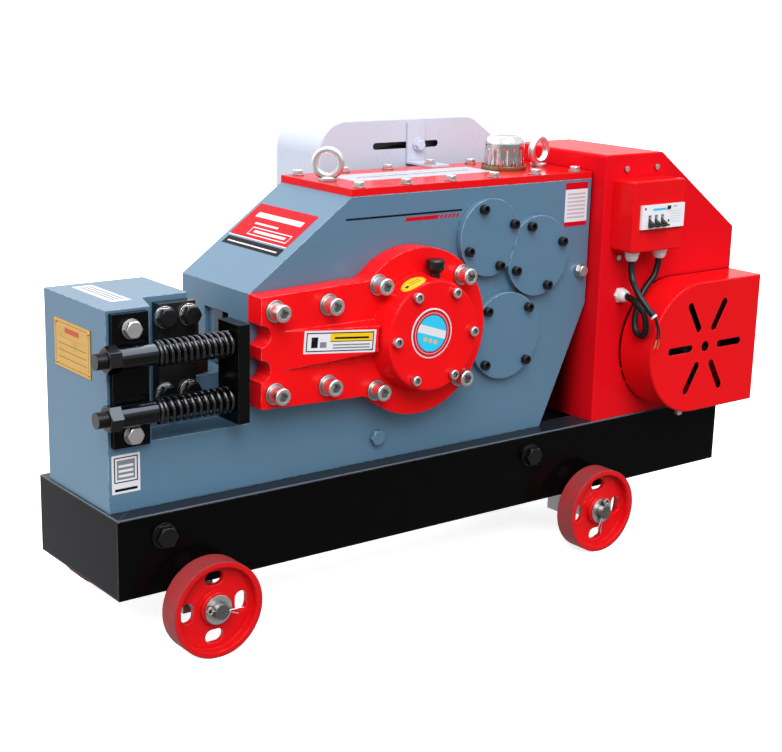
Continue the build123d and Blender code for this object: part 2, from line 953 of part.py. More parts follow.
def top_plate_bolts():
    bolts = []
    for x, y in plate_bolt_places():
        on_bracket = y > centre_y and strip_left() < x < strip_left() + bracket_strip
        z = plate_top + (strip_thickness if on_bracket else 0)
        top = z + hex_small_washer_thickness
        head = Pos(x, y, top) * hex_head(hex_small, hex_small_height)
        bolts.append(head + bar_z(hex_small_washer / 2, z, top, x, y))
    return solids(bolts)


def eye_ring():
    inner, outer = eye_hole / 2, eye_outer / 2
    half, land = eye_section / 2, eye_land / 2
    middle = (inner + outer) / 2
    profile = [(inner, -land), (middle - land, -half), (middle + land, -half), (outer, -land),
               (outer, land), (middle + land, half), (middle - land, half), (inner, land)]
    return Rot(90, 0, 0) * turned(profile)


def eye_bolt(x, turn):
    top = eye_rise - eye_outer / 2 + land_depth()
    foot = [(0, 0), (eye_collar / 2, 0), (eye_collar / 2, eye_foot), (eye_collar / 2 - 2, eye_foot),
            (eye_section / 2, top), (0, top)]
    bolt = Pos(0, 0, eye_rise) * eye_ring() + turned(foot)
    return Pos(x, centre_y, plate_top) * Rot(0, 0, turn) * bolt


def land_depth():
    return (eye_outer - eye_hole) / 4


def eye_bolts():
    places = (plate_left + eye_left, housing_right - eye_right)
    return solids([eye_bolt(x, turn) for x, turn in zip(places, eye_turn)])


def breather_place():
    return plate_left + breather_x, centre_y


def breather_base():
    x, y = breather_place()
    top = plate_top + breather_foot
    disc = bar_z(breather_flange, plate_top, top, x, y)
    circle = (breather_radius + breather_flange) / 2
    for k in range(breather_screws):
        place = step((x, y), circle, 2 * pi * (k + 0.25) / breather_screws)
        disc += bar_z(breather_screw_radius, top, top + breather_screw_radius, *place)
    return disc


def breather_cap():
    foot = plate_top + breather_foot
    can = bar_z(breather_radius, foot, foot + breather_height, *breather_place())
    dome = fillet(can.edges().group_by(Axis.Z)[-1], breather_round)
    for k in range(breather_flutes):
        out = breather_radius + flute_radius - flute_depth
        place = step(breather_place(), out, 2 * pi * k / breather_flutes)
        dome -= bar_z(flute_radius, foot, foot + breather_band, *place)
        dome -= Pos(*place, foot + breather_band) * Sphere(flute_radius)
    return dome


# Spring clamp
def clamp_bracket():
    z1 = head_top - bracket_top
    y0 = body_front - bracket_plate
    bracket = block(tube_left, tube_right, y0, body_front, z1 - bracket_height, z1)
    for z in clamp_levels:
        bracket += bar_x(tube_radius, tube_left, tube_right, clamp_y, z)
    for z in clamp_levels:
        bracket -= bar_x(tube_radius - tube_wall, tube_left - 1, tube_right + 1, clamp_y, z)
    return bracket


def front_bolts():
    middle = (tube_left + tube_right) / 2
    face = body_front - bracket_plate
    low = head_top - bracket_top - bracket_height
    axes = [(middle, head_top - bracket_top - bracket_bolt_high), (middle, low + bracket_bolt_low)]
    sizes = (bracket_bolt_flats, bracket_bolt_height, bracket_bolt_washer)
    bolts = [hex_bolt(*sizes, axis, face) for axis in axes]
    side = (housing_right - side_bolt_place[0], base_top + side_bolt_place[1])
    sizes = (side_bolt_flats, side_bolt_flats / 2, side_bolt_flats * 1.4)
    return solids(bolts + [hex_bolt(*sizes, side, body_front)])


def stop_plate():
    y0 = clamp_y - stop_lip
    z0 = base_top + stop_low
    plate = block(stop_x, stop_x + stop_thickness, y0, y0 + stop_depth, z0, z0 + stop_height)
    for z in clamp_levels:
        plate -= bar_x(rod_radius, stop_x - 1, stop_x + stop_thickness - stop_blind, clamp_y, z)
    return plate


def clamp_rods():
    tail = tube_left - nut_thickness - rod_tail
    tip = stop_x + stop_thickness - stop_blind
    return solids([bar_x(rod_radius, tail, tip, clamp_y, z) for z in clamp_levels])


def clamp_nuts():
    nuts = []
    for z, turn in zip(clamp_levels, nut_turns):
        nut = hex_head(nut_flats, nut_thickness) - Cylinder(rod_radius, 3 * nut_thickness)
        nuts.append(Pos(tube_left, clamp_y, z) * Rot(0, -90, 0) * Rot(0, 0, turn) * nut)
    return solids(nuts)


def biarc(start, start_way, end, end_way):
    chord = end - start
    ways = start_way + end_way
    spread = 2 * (1 - start_way.dot(end_way))
    along = chord.dot(ways)
    reach = (sqrt(along ** 2 + spread * chord.dot(chord)) - along) / spread
    middle = (start + end + (start_way - end_way) * reach) / 2
    middle_way = ((end - end_way * reach) - (start + start_way * reach)).normalized()
    return [TangentArc(start, middle, tangent=start_way), TangentArc(middle, end, tangent=middle_way)]


def coil_path(z, coils):
    left, right = tube_right, stop_x
    axis = Vector(1, 0, 0)
    first, last = left + wire + coil_bend, right - wire - coil_bend
    pitch = (last - first) / coils

    def at(turn):
        angle = 2 * pi * turn
        point = Vector(first + pitch * turn, clamp_y + coil_radius * cos(angle), z + coil_radius * sin(angle))
        way = Vector(pitch / (2 * pi), -coil_radius * sin(angle), coil_radius * cos(angle))
        return point, way.normalized()

    begin, begin_way = at(0)
    finish, finish_way = at(coils)
    inlet = Vector(left + wire, clamp_y + coil_radius, z - coil_bend)
    outlet = Vector(right - wire, clamp_y + coil_radius, z + coil_bend)
    edges = [Line(Vector(left, inlet.Y, inlet.Z), inlet)] + biarc(inlet, axis, begin, begin_way)
    for k in range(2 * coils):
        edges += biarc(*at(k / 2), *at((k + 1) / 2))
    edges += biarc(finish, finish_way, outlet, axis)
    edges.append(Line(outlet, Vector(right, outlet.Y, outlet.Z)))
    return edges, pitch


def clamp_spring(z, coils):
    edges, pitch = coil_path(z, coils)
    path = Wire(edges)
    start = Plane(origin=path @ 0, z_dir=path % 0)
    spring = sweep(start * Circle(wire / 2), path=path)
    own_gap = least_gap(edges)
    share = spring.volume / (pi * wire ** 2 / 4 * path.length)
    print("spring pitch %.2f own gap %.2f volume share %.3f" % (pitch, own_gap, share))
    return spring


def least_gap(edges):
    points = [edge @ (k / 4) for edge in edges for k in range(4)]
    near = 1e9
    for i, first in enumerate(points):
        for second in points[i + 9:]:
            near = min(near, (first - second).length)
    return near - wire


# Flywheel, belts and guard
def belt_rows():
    return belt_y - belt_pitch / 2, belt_y + belt_pitch / 2


def grooved(rim, axis, pitch):
    floor = pitch - belt_below - belt_gap
    for y in belt_rows():
        span = (y - belt_width / 2 - belt_gap, y + belt_width / 2 + belt_gap)
        groove = bar_y(pitch + 2 * belt_above, *span, axis) - bar_y(floor, *span, axis)
        rim -= groove
    return rim


def flywheel():
    outer = flywheel_pitch + belt_above
    span = (belt_y - rim_width / 2, belt_y + rim_width / 2)
    rim = bar_y(outer, *span, first_axis) - bar_y(outer - rim_depth, *span, first_axis)
    web = (belt_y - flywheel_web / 2, belt_y + flywheel_web / 2)
    body = rim + bar_y(outer - rim_depth / 2, *web, first_axis) + bar_y(flywheel_hub, *span, first_axis)
    return grooved(body - bar_y(first_radius, *span, first_axis), first_axis, flywheel_pitch)


def motor_axis():
    return motor_x, motor_z


def motor_pulley():
    span = (belt_y - rim_width / 2, belt_y + rim_width / 2)
    body = bar_y(motor_pitch + belt_above, *span, motor_axis())
    return grooved(body - bar_y(motor_shaft, *span, motor_axis()), motor_axis(), motor_pitch)


def loop_face(grow):
    first, second = first_axis, motor_axis()
    big, small = flywheel_pitch + grow, motor_pitch + grow
    apart = hypot(second[0] - first[0], second[1] - first[1])
    heading = atan2(second[1] - first[1], second[0] - first[0])
    lean = acos((big - small) / apart)
    corners = [step(first, big, heading + lean), step(second, small, heading + lean),
               step(second, small, heading - lean), step(first, big, heading - lean)]
    run = make_face(Polyline(*corners, close=True))
    return run + Pos(*first) * Circle(big) + Pos(*second) * Circle(small)


def drive_belts():
    face = loop_face(belt_above) - loop_face(-belt_below)
    belts = [sketch_y(face, y - belt_width / 2, y + belt_width / 2) for y in belt_rows()]
    return solids(belts)


def guard_face(grow):
    big = flywheel_pitch + belt_above + guard_margin + grow
    small = motor_pitch + belt_above + guard_margin + 8 + grow
    left, top = first_axis[0] - big, first_axis[1] + big
    right, low = motor_x + small, motor_z - small
    fall = (top - motor_z) / (right - first_axis[0])
    shoulder = first_axis[0] + big * 0.92
    points = [(left, first_axis[1] - big * 0.55), (left, top), (shoulder, top),
              (right, top - fall * (right - shoulder) * 0.9), (right, low), (motor_x - small * 0.6, low),
              (first_axis[0] - big * 0.45, first_axis[1] - big)]
    face = make_face(Polyline(*points, close=True))
    return fillet(face.vertices(), guard_corner + grow)


def bent_guard(grow):
    guard = sketch_y(guard_face(grow), guard_front - grow, guard_front + guard_depth + grow)
    rows = guard.edges().group_by(Axis.Y)
    return fillet(rows[0] + rows[-1], bend + grow)


def belt_guard():
    guard = bent_guard(0) - bent_guard(-guard_sheet)
    span = (guard_front - 1, guard_front + guard_sheet + 1)
    guard -= bar_y(flywheel_hub + hub_hole_gap, *span, first_axis)
    guard -= bar_y(motor_shaft + shaft_hole_gap, *span, motor_axis())
    slot = Pos(*guard_slot_centre()) * SlotOverall(guard_slot, guard_slot_height)
    return guard - sketch_y(slot, *span)


def guard_slot_centre():
    return strip_left(), plate_top + guard_slot_rise


def stay_xs():
    beside_bolt = base_x + base_bolt_xs[1] + base_bolt_washer / 2 + stay_gap + stay_half
    return beside_bolt, first_axis[0] + stay_share * (motor_x - first_axis[0])


def guard_bracket():
    x0, x1 = strip_left(), strip_left() + bracket_strip
    face = guard_front - strip_thickness
    high = first_axis[1] + flywheel_pitch + belt_above + guard_margin - strip_drop
    angle = block(x0, x1, face, guard_front, plate_top, high)
    angle += block(x0, x1, body_rear - strip_foot, guard_front, plate_top, plate_top + strip_thickness)
    bolt_axis = (x0 + bracket_strip * 0.6, guard_slot_centre()[1])
    bolt = hex_bolt(strip_bolt_flats, strip_bolt_height, strip_bolt_washer, bolt_axis, face)
    pieces = [angle, bolt]
    for x in stay_xs():
        share = (x - first_axis[0]) / (motor_x - first_axis[0])
        high = first_axis[1] + share * (motor_z - first_axis[1]) - stay_drop
        low = base_z + stay_foot
        pieces.append(block(x - stay_half, x + stay_half, base_rear, guard_front, low, high))
    return solids(pieces)


# Motor, hood and fan guard
def motor_body():
    nose = motor_rear - motor_nose
    body = bar_y(motor_radius, motor_front, nose, motor_axis())
    body += bar_y(motor_radius * motor_nose_share, nose, motor_rear, motor_axis())
    for x in (motor_x - foot_out, motor_x + foot_out - foot_width):
        y0, y1 = motor_front + foot_front, motor_rear - foot_rear
        body += block(x, x + foot_width, y0, y1, base_top, motor_z - foot_width)
    y0 = motor_front + terminal_front
    x0, x1 = motor_x - terminal_half, motor_x + terminal_half
    body += block(x0, x1, y0, y0 + terminal_length, motor_z, motor_z + terminal_height)
    return body - bar_y(motor_shaft, motor_front - 1, motor_rear + 1, motor_axis())


def motor_shaft_bar():
    return bar_y(motor_shaft - running, hood_front - shaft_nose, drive_end, motor_axis())


def motor_fan():
    span = (hood_front - fan_gap - fan_width, hood_front - fan_gap)
    fan = bar_y(fan_hub, *span, motor_axis())
    half, width = fan_blade_thickness / 2, fan_blade_width / 2
    blade = block(fan_hub - fan_blade_thickness, fan_radius, -half, half, -width, width)
    middle = Pos(motor_x, sum(span) / 2, motor_z)
    for k in range(fan_blades):
        fan += middle * Rot(0, 360 / fan_blades * k + fan_turn, 0) * Rot(90, 0, 0) * blade
    return fan - bar_y(motor_shaft, span[0] - 1, span[1] + 1, motor_axis())


def hood_outline(grow):
    left, right = hood_left - grow, hood_right + grow
    top = base_top + hood_height + grow
    low = base_top if grow == 0 else base_top - 1
    run = hood_left + hood_top_run + grow * 0.4
    edge = base_top + hood_height - hood_chamfer_drop + grow * 0.4
    return [(left, low), (left, top), (run, top), (right, edge), (right, low)]


def bent_hood(grow):
    face = make_face(Polyline(*hood_outline(grow), close=True))
    corners = [corner for corner in face.vertices() if corner.Y > base_top + 1]
    hood = sketch_y(fillet(corners, bend_corner + grow), hood_front - grow, hood_rear + grow)
    rows = hood.edges().group_by(Axis.Y)
    return fillet([edge for edge in rows[0] + rows[-1] if edge.center().Z > base_top + 1], bend + grow)


def motor_hood():
    hood = bent_hood(0) - bent_hood(-sheet)
    hood -= bar_y(vent_radius, hood_front - 1, hood_front + sheet + 1, motor_axis())
    return hood - bar_y(motor_radius + motor_hole_gap, hood_rear - sheet - 1, hood_rear + 1, motor_axis())


def drum_face(grow):
    right = motor_x + drum_width / 2 + grow
    middle = motor_x - drum_width / 2 + drum_radius
    flat = Pos((middle + right) / 2, motor_z) * Rectangle(right - middle, 2 * (drum_radius + grow))
    return flat + Pos(middle, motor_z) * Circle(drum_radius + grow)


def bent_drum(grow, rear):
    drum = sketch_y(drum_face(grow), hood_front - drum_depth - grow, rear)
    return fillet(drum.edges().group_by(Axis.Y)[0], bend + grow)


def motor_guard():
    front = hood_front - drum_depth
    drum = bent_drum(0, hood_front) - bent_drum(-sheet, hood_front + 1)
    slots = Pos(*motor_axis()) * Circle(star_hole)
    for k in range(star_slots):
        length = star_outer - star_inner
        slot = Pos((star_inner + star_outer) / 2, 0) * SlotOverall(length, star_width)
        slots += Pos(*motor_axis()) * Rot(0, 0, 360 / star_slots * k) * slot
    return drum - sketch_y(slots, front - 1, front + sheet + 1)


def hood_screws():
    above, below = box_z + box_height + hood_screw_gap, box_z - hood_screw_gap
    places = [(box_x + x, z) for x, z in zip(hood_screw_xs, (above, above, below))]
    front = hood_front - hood_screw_height
    return solids([bar_y(hood_screw_radius, front, hood_front, place) for place in places])


# Switch box, breaker, glands and cables
def breaker_place():
    x0 = box_x + (box_width - breaker_width) / 2 + breaker_offset
    return x0, base_top + breaker_low


def bent_box(grow, rear):
    face = RectangleRounded(box_width + 2 * grow, box_height + 2 * grow, bend_corner + grow)
    middle = Pos(box_x + box_width / 2, box_z + box_height / 2)
    box = sketch_y(middle * face, box_front - grow, rear)
    return fillet(box.edges().group_by(Axis.Y)[0], bend + grow)


def switch_box():
    x0, z0 = breaker_place()
    box = bent_box(0, hood_front) - bent_box(-sheet, hood_front + 1)
    return box - block(x0, x0 + breaker_width, box_front - 1, box_front + sheet + 1, z0, z0 + breaker_height)


def breaker_body():
    x0, z0 = breaker_place()
    x1, z1 = x0 + breaker_width, z0 + breaker_height
    face = box_front - breaker_proud
    body = block(x0 + seat, x1 - seat, face, hood_front - breaker_back, z0 + seat, z1 - seat)
    x, z = x0 + button_place, z1 - button_top
    body += block(x - button_half, x + button_half, face - button_proud, face, z - button_height, z)
    width = toggle_width / 2 + seat
    low, high = z0 + toggle_slot[0], z0 + toggle_slot[1]
    for x in toggle_xs():
        body -= block(x - width, x + width, face - 1, face + toggle_slot_depth, low, high)
    return body


def toggle_xs():
    first = breaker_place()[0] + toggle_first
    return [first + k * toggle_pitch for k in range(toggles)]


def toggle_axis():
    return box_front - breaker_proud + toggle_deep, breaker_place()[1] + toggle_rise


def breaker_toggle():
    xs = toggle_xs()
    y, z = toggle_axis()
    bar_y0 = box_front - breaker_proud - toggle_bar_out
    left, right = xs[0] - toggle_bar_over, xs[-1] + toggle_bar_over
    toggle = bar_x(toggle_bar, left, right, bar_y0, z - toggle_bar_drop)
    for x in xs:
        x0, x1 = x - toggle_width / 2, x + toggle_width / 2
        toggle += bar_x(toggle_hub, x0, x1, y, z)
        arm = block(x0 - x, x1 - x, -toggle_arm, 0, -toggle_half, toggle_half)
        toggle += Pos(x, y, z) * Rot(toggle_tilt, 0, 0) * arm
    return toggle


def gland():
    mouth = cable_radius + gland_lip
    swell = [(0, 0), (1, 0), (1, 0.5), (0.94, 0.7), (0.8, 0.88), (mouth / gland_radius, 1), (0, 1)]
    nut = turned([(gland_radius * r, gland_length * h) for r, h in swell])
    return nut + hexagon(gland_flats, gland_hex) - Cylinder(cable_radius, 3 * gland_length)


def cable_glands():
    glands = [Pos(x, gland_y, box_z) * Rot(180, 0, 0) * gland() for x in gland_xs]
    return solids(glands + [facing_front(gland(), (lead_x, lead_z), hood_front)])


def supply_points():
    x, z = gland_xs[0], box_z
    return [(x, gland_y, z - cable_inset), (x, gland_y, z - cable_straight), (x - 12, gland_y - 30, z - 71),
            (x - 7, gland_y - 50, z - 93), (x, gland_y - 64, z - 110)]


def lead_points():
    x, z = gland_xs[1], box_z
    mouth = hood_front - gland_length
    return [(x, gland_y, z - cable_inset), (x, gland_y, z - cable_straight), (x - 36, gland_y - 2, z - 72),
            (x - 60, gland_y - 6, z - 114), (x - 67, gland_y - 16, z - 150), (x - 68, gland_y - 44, z - 150),
            (x - 71, gland_y - 43, z - 108), (lead_x - 4, mouth - 29, lead_z - 10),
            (lead_x, mouth - 9, lead_z), (lead_x, hood_front - cable_inset, lead_z)]


def bend_radii(points):
    radii = []
    for a, b, c in zip(points, points[1:], points[2:]):
        into, out = Vector(*b) - Vector(*a), Vector(*c) - Vector(*b)
        half = radians(into.get_angle(out)) / 2
        radii.append(0.45 * min(into.length, out.length) / tan(half))
    return radii


def cable(points, name):
    radii = bend_radii(points)
    path = FilletPolyline(*points, radius=radii)
    start = Plane(origin=path @ 0, z_dir=path % 0)
    tube = sweep(start * Circle(cable_radius - running), path=path)
    share = tube.volume / (pi * (cable_radius - running) ** 2 * path.length)
    print(name, "length %.0f" % path.length, "bend radii", [round(r, 1) for r in radii], "share %.3f" % share)
    return tube


parts = {
    "base_frame": base_frame(),
    "base_bolts": base_bolts(),
    "axles": axles(),
    "wheel_front_left": wheel_at(axle_xs[0], True),
    "wheel_front_right": wheel_at(axle_xs[1], True),
    "wheel_rear_left": wheel_at(axle_xs[0], False),
    "wheel_rear_right": wheel_at(axle_xs[1], False),
    "axle_retainers": axle_retainers(),
    "machine_frame": machine_frame(),
    "drain_plug": drain_plug(),
    "nameplate": nameplate(),
    "blade_holder": blade_holder(),
    "holder_bolts": holder_bolts(),
    "fixed_blade": fixed_blade(),
    "slide_block": slide_block(),
    "moving_blade": moving_blade(),
    "connecting_rod": connecting_rod(),
    "crankshaft": crankshaft(),
    "crank_gear": crank_gear(),
    "first_shaft": first_shaft(),
    "second_shaft": second_shaft(),
    "second_gear": second_gear(),
    "third_shaft": third_shaft(),
    "third_gear": third_gear(),
    "crank_cover": crank_cover(),
    "crank_cover_bolts": crank_cover_bolts(),
    "crank_cap": crank_cap(),
    "crank_cap_screws": crank_cap_screws(),
    "oil_cup": oil_cup(),
    "bearing_caps": bearing_caps(),
    "bearing_cap_screws": bearing_cap_screws(),
    "top_plate": top_plate(),
    "top_plate_bolts": top_plate_bolts(),
    "eye_bolts": eye_bolts(),
    "breather_base": breather_base(),
    "breather_cap": breather_cap(),
    "clamp_bracket": clamp_bracket(),
    "front_bolts": front_bolts(),
    "stop_plate": stop_plate(),
    "clamp_rods": clamp_rods(),
    "clamp_nuts": clamp_nuts(),
    "spring_high": clamp_spring(clamp_levels[0], coils_high),
    "spring_low": clamp_spring(clamp_levels[1], coils_low),
    "flywheel": flywheel(),
    "motor_pulley": motor_pulley(),
    "drive_belts": drive_belts(),
    "belt_guard": belt_guard(),
    "guard_bracket": guard_bracket(),
    "motor_body": motor_body(),
    "motor_shaft": motor_shaft_bar(),
    "motor_fan": motor_fan(),
    "motor_hood": motor_hood(),
    "motor_guard": motor_guard(),
    "hood_screws": hood_screws(),
    "switch_box": switch_box(),
    "breaker_body": breaker_body(),
    "breaker_toggle": breaker_toggle(),
    "cable_glands": cable_glands(),
    "supply_cable": cable(supply_points(), "supply cable"),
    "motor_lead": cable(lead_points(), "motor lead"),
}

os.makedirs("parts", exist_ok=True)
for node, shape in parts.items():
    export_step(shape, f"parts/{node}.step")
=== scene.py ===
"""Looks of the rebar cutting machine: finishes, cords, springs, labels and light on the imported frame."""
import json
from math import cos, pi, radians, sin

import bmesh
import bpy
from mathutils import Matrix, Vector


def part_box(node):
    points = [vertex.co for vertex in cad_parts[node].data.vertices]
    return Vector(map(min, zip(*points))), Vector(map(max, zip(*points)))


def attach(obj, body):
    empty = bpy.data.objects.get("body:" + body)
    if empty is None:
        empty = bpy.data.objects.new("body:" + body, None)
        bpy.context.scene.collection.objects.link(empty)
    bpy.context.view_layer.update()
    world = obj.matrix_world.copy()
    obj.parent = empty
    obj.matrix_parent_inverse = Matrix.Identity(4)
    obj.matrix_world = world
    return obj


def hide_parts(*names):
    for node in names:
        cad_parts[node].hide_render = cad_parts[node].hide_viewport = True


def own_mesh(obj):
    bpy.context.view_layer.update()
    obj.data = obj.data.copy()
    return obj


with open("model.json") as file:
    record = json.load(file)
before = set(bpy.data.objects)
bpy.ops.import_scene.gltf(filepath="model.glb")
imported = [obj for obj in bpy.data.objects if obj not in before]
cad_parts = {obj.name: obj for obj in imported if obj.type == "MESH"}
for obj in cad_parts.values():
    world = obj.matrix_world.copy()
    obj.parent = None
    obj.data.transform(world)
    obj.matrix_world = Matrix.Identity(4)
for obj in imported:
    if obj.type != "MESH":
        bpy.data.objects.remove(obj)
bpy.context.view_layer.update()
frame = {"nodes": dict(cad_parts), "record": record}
nodes = frame["nodes"]


# Shader maths
class Wire:
    """An output of a node. Arithmetic on it adds Math nodes."""

    def __init__(self, nodes, socket):
        self.nodes = nodes
        self.socket = socket

    def math(self, operation, *values):
        return self.nodes.node("Math", {"operation": operation}, *values)

    def __add__(self, other):
        return self.math("ADD", self, other)

    def __sub__(self, other):
        return self.math("SUBTRACT", self, other)

    def __rsub__(self, other):
        return self.math("SUBTRACT", other, self)

    def __mul__(self, other):
        return self.math("MULTIPLY", self, other)

    def __truediv__(self, other):
        return self.math("DIVIDE", self, other)

    def __pow__(self, other):
        return self.math("POWER", self, other)

    def __mod__(self, other):
        return self.math("FLOORED_MODULO", self, other)

    def __gt__(self, other):
        return self.math("GREATER_THAN", self, other)

    def __lt__(self, other):
        return self.math("LESS_THAN", self, other)

    def __abs__(self):
        return self.math("ABSOLUTE", self)

    __radd__ = __add__
    __rmul__ = __mul__


class Nodes:
    """A node tree in the making."""

    def __init__(self, tree):
        self.tree = tree

    def plug(self, socket, value):
        if isinstance(value, Wire):
            self.tree.links.new(value.socket, socket)
        elif socket.type == "RGBA":
            socket.default_value = (*value, 1)
        else:
            socket.default_value = value

    def node(self, kind, settings, *values, out=0, **named):
        node = self.tree.nodes.new("ShaderNode" + kind)
        for name, value in settings.items():
            setattr(node, name, value)
        for socket, value in zip([s for s in node.inputs if s.enabled], values):
            self.plug(socket, value)
        for name, value in named.items():
            self.plug(node.inputs[name], value)
        return Wire(self, [s for s in node.outputs if s.enabled][out])

    def parts(self, vector):
        """The three parts of a vector."""
        split = self.node("SeparateXYZ", {}, vector).socket.node
        return [Wire(self, socket) for socket in split.outputs]

    def span(self, value, low, high):
        """0 below low, 1 above high, smooth between."""
        return self.node("MapRange", {"interpolation_type": "SMOOTHSTEP"}, value, low, high, 0, 1)

    def mix(self, share, first, second):
        return self.node("Mix", {"data_type": "RGBA"}, share, first, second)


class Finish(Nodes):
    """A material on one Principled shader, with edges that shade as if rounded by a small radius."""

    def __init__(self, name, rounding=0, **constants):
        self.material = bpy.data.materials.new(name)
        self.material.use_nodes = True
        super().__init__(self.material.node_tree)
        self.shader = self.tree.nodes["Principled BSDF"]
        self.rounded = self.node("Bevel", {"samples": 6}, Radius=rounding) if rounding else None
        self.set(**constants)

    def set(self, **sockets):
        for name, value in sockets.items():
            self.plug(self.shader.inputs[name.replace("_", " ")], value)

    def place(self, centre=(0, 0, 0), turn=(0, 0, 0), stretch=(1, 1, 1)):
        """Object coordinates in metres, moved, turned and stretched."""
        spot = self.node("TexCoord", {}, out=3)
        return self.node("Mapping", {"vector_type": "TEXTURE"}, spot, centre, turn, stretch)

    def noise(self, scale, detail=2, where=None):
        where = where or self.place()
        return self.node("TexNoise", {}, Vector=where, Scale=scale, Detail=detail)

    def facing(self):
        """The way the bare face points, before its edges are rounded."""
        return self.node("NewGeometry", {}, out=1)

    def rim(self):
        """1 on rounded edges, 0 on faces."""
        dot = self.node("VectorMath", {"operation": "DOT_PRODUCT"}, self.rounded, self.facing())
        return self.span(1 - dot, 0.02, 0.16)

    def hollows(self, reach, low, high):
        """1 deep in corners and recesses, 0 on open faces. Reach is in metres."""
        open_share = self.node("AmbientOcclusion", {"samples": 6}, Distance=reach, out=1)
        return self.span(1 - open_share, low, high)

    def relief(self, height, depth):
        """Bump of a real depth in metres, on the rounded edges."""
        inputs = {"Strength": 1.0, "Distance": depth, "Height": height}
        if self.rounded:
            inputs["Normal"] = self.rounded
        self.set(Normal=self.node("Bump", {}, **inputs))

    def inside(self, across, up, left, right, low, high):
        """1 within a rectangle."""
        return (across > left) * (across < right) * (up > low) * (up < high)


def tinted(colour, share):
    """A colour made darker or lighter by a share."""
    return tuple(c * share for c in colour)


def faded(colour, share):
    """A colour moved towards white by a share."""
    return tuple(c + (1 - c) * share for c in colour)


# Finishes
def paint(name, colour, roughness, ior, rounding, peel, lumps, worn, rub_and_highlight, shade=None):
    """Sprayed paint: slow changes of tone, orange peel, specks of dust, painted shade in corners, and
    lighter edges.

    Edges are partly rubbed paint and partly a painted highlight, and take the colour worn by a given share.
    What the mask shade covers is painted nearly black, as painted shade.
    """
    f = Finish(name, rounding, IOR=ior)
    slow = f.noise(4, 2)
    cloud = f.noise(30, 3)
    specks = f.span(f.noise(520, 2), 0.7, 0.78) * f.span(cloud, 0.5, 0.68)
    # Edges: partly rubbed paint, partly a painted highlight.
    rubbed = f.rim() * f.span(f.noise(90, 4), 0.38, 0.55)
    tone = f.mix(slow, tinted(colour, 0.94), faded(tinted(colour, 1.04), 0.002))
    tone = f.mix(specks * 0.10, tone, (0.6, 0.58, 0.55))
    # Painted shade in corners and recesses, from occlusion.
    tone = f.mix(f.hollows(0.012, 0.3, 0.85) * 0.55, tone, tinted(colour, 0.2))
    tone = f.mix(rubbed * rub_and_highlight, tone, worn)
    # Painted shade: what the mask covers is made nearly black.
    if shade:
        tone = f.mix(shade(f), tone, tinted(colour, 0.01))
    dull = 0.06 * (cloud - 0.5) + 0.12 * specks + 0.08 * rubbed
    f.set(Base_Color=tone, Roughness=roughness + dull)
    f.relief(peel * f.noise(330, 2) + lumps * f.noise(75, 3), 0.0001)
    return f.material


def drum_painted_shade(f):
    """1 where shade is painted nearly black: on the inner faces of the fan drum, and in its seam with the
    hood between two tack welds, as a painted shadow.
    """
    low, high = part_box("motor_guard")
    radius = (high[2] - low[2]) / 2
    seam_width = 0.0045
    tack_reach = 0.0035
    upper_tack = 0.042
    lower_tack = 0.069
    x, y, z = f.parts(f.place(centre=(low[0] + radius, high[1], low[2] + radius)))
    out_x, out_y, out_z = f.parts(f.facing())
    inner = (out_y > 0.5) + (x * out_x + z * out_z < -0.01)
    tacks = (abs(z + upper_tack) < tack_reach) + (abs(z + lower_tack) < tack_reach)
    return inner + (y > -seam_width) * (1 - tacks) > 0.5


def hood_gap(f):
    """1 on the hood's side deep in the gap beside the housing, where no light comes in."""
    low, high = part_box("machine_frame")
    light_to = low[1] - 0.0145
    dark_from = low[1] + 0.0605
    _, y, z = f.parts(f.place())
    side = f.parts(f.facing())[0] < -0.5
    return f.span(y, light_to, dark_from) * (z < high[2]) * side * 0.97


def base_black():
    """Black base: a painted bluish sheen on its top faces and a painted highlight line along its upper
    edges.
    """
    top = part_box("base_frame")[1][2]
    edge_band = 0.010
    f = Finish("base_black", 0.006, IOR=1.165)
    upper = f.parts(f.place())[2] > top - edge_band
    flat = f.parts(f.facing())[2] > 0.9
    # Painted highlight on the rounded edges that face upwards.
    line = f.rim() * (f.parts(f.rounded)[2] > 0.1)
    cloud = f.noise(30, 3)
    tone = f.mix(cloud, tinted(black, 0.8), tinted(black, 1.3))
    # Painted sheen on the flat top faces, and then the painted highlight line.
    tone = f.mix(flat * upper, tone, (0.011, 0.016, 0.022))
    tone = f.mix(line * upper * (0.7 + 0.4 * cloud), tone, (0.17, 0.19, 0.235))
    f.set(Base_Color=tone, Roughness=0.14 + 0.06 * cloud)
    f.relief(0.1 * f.noise(330, 2) + 0.2 * f.noise(75, 3), 0.0001)
    return f.material


def plated(name, colour, roughness, rounding):
    """Bright plating on small steel pieces: faint cloud, rubbed spots, tool marks and painted shade in
    sockets and recesses.
    """
    f = Finish(name, rounding, Metallic=1.0)
    cloud = f.noise(70, 4)
    spots = f.span(f.noise(260, 3), 0.58, 0.7)
    tone = f.mix(cloud, tinted(colour, 0.85), colour)
    tone = f.mix(spots * 0.3, tone, tinted(colour, 0.6))
    # Painted shade in sockets and recesses, from occlusion.
    tone = f.mix(f.hollows(0.010, 0.15, 0.45) * 0.68, tone, tinted(colour, 0.05))
    f.set(Base_Color=tone, Roughness=roughness + 0.14 * (cloud - 0.45) + 0.10 * spots)
    f.relief(f.noise(700, 3) + 0.4 * f.noise(170, 2), 0.00004)
    return f.material


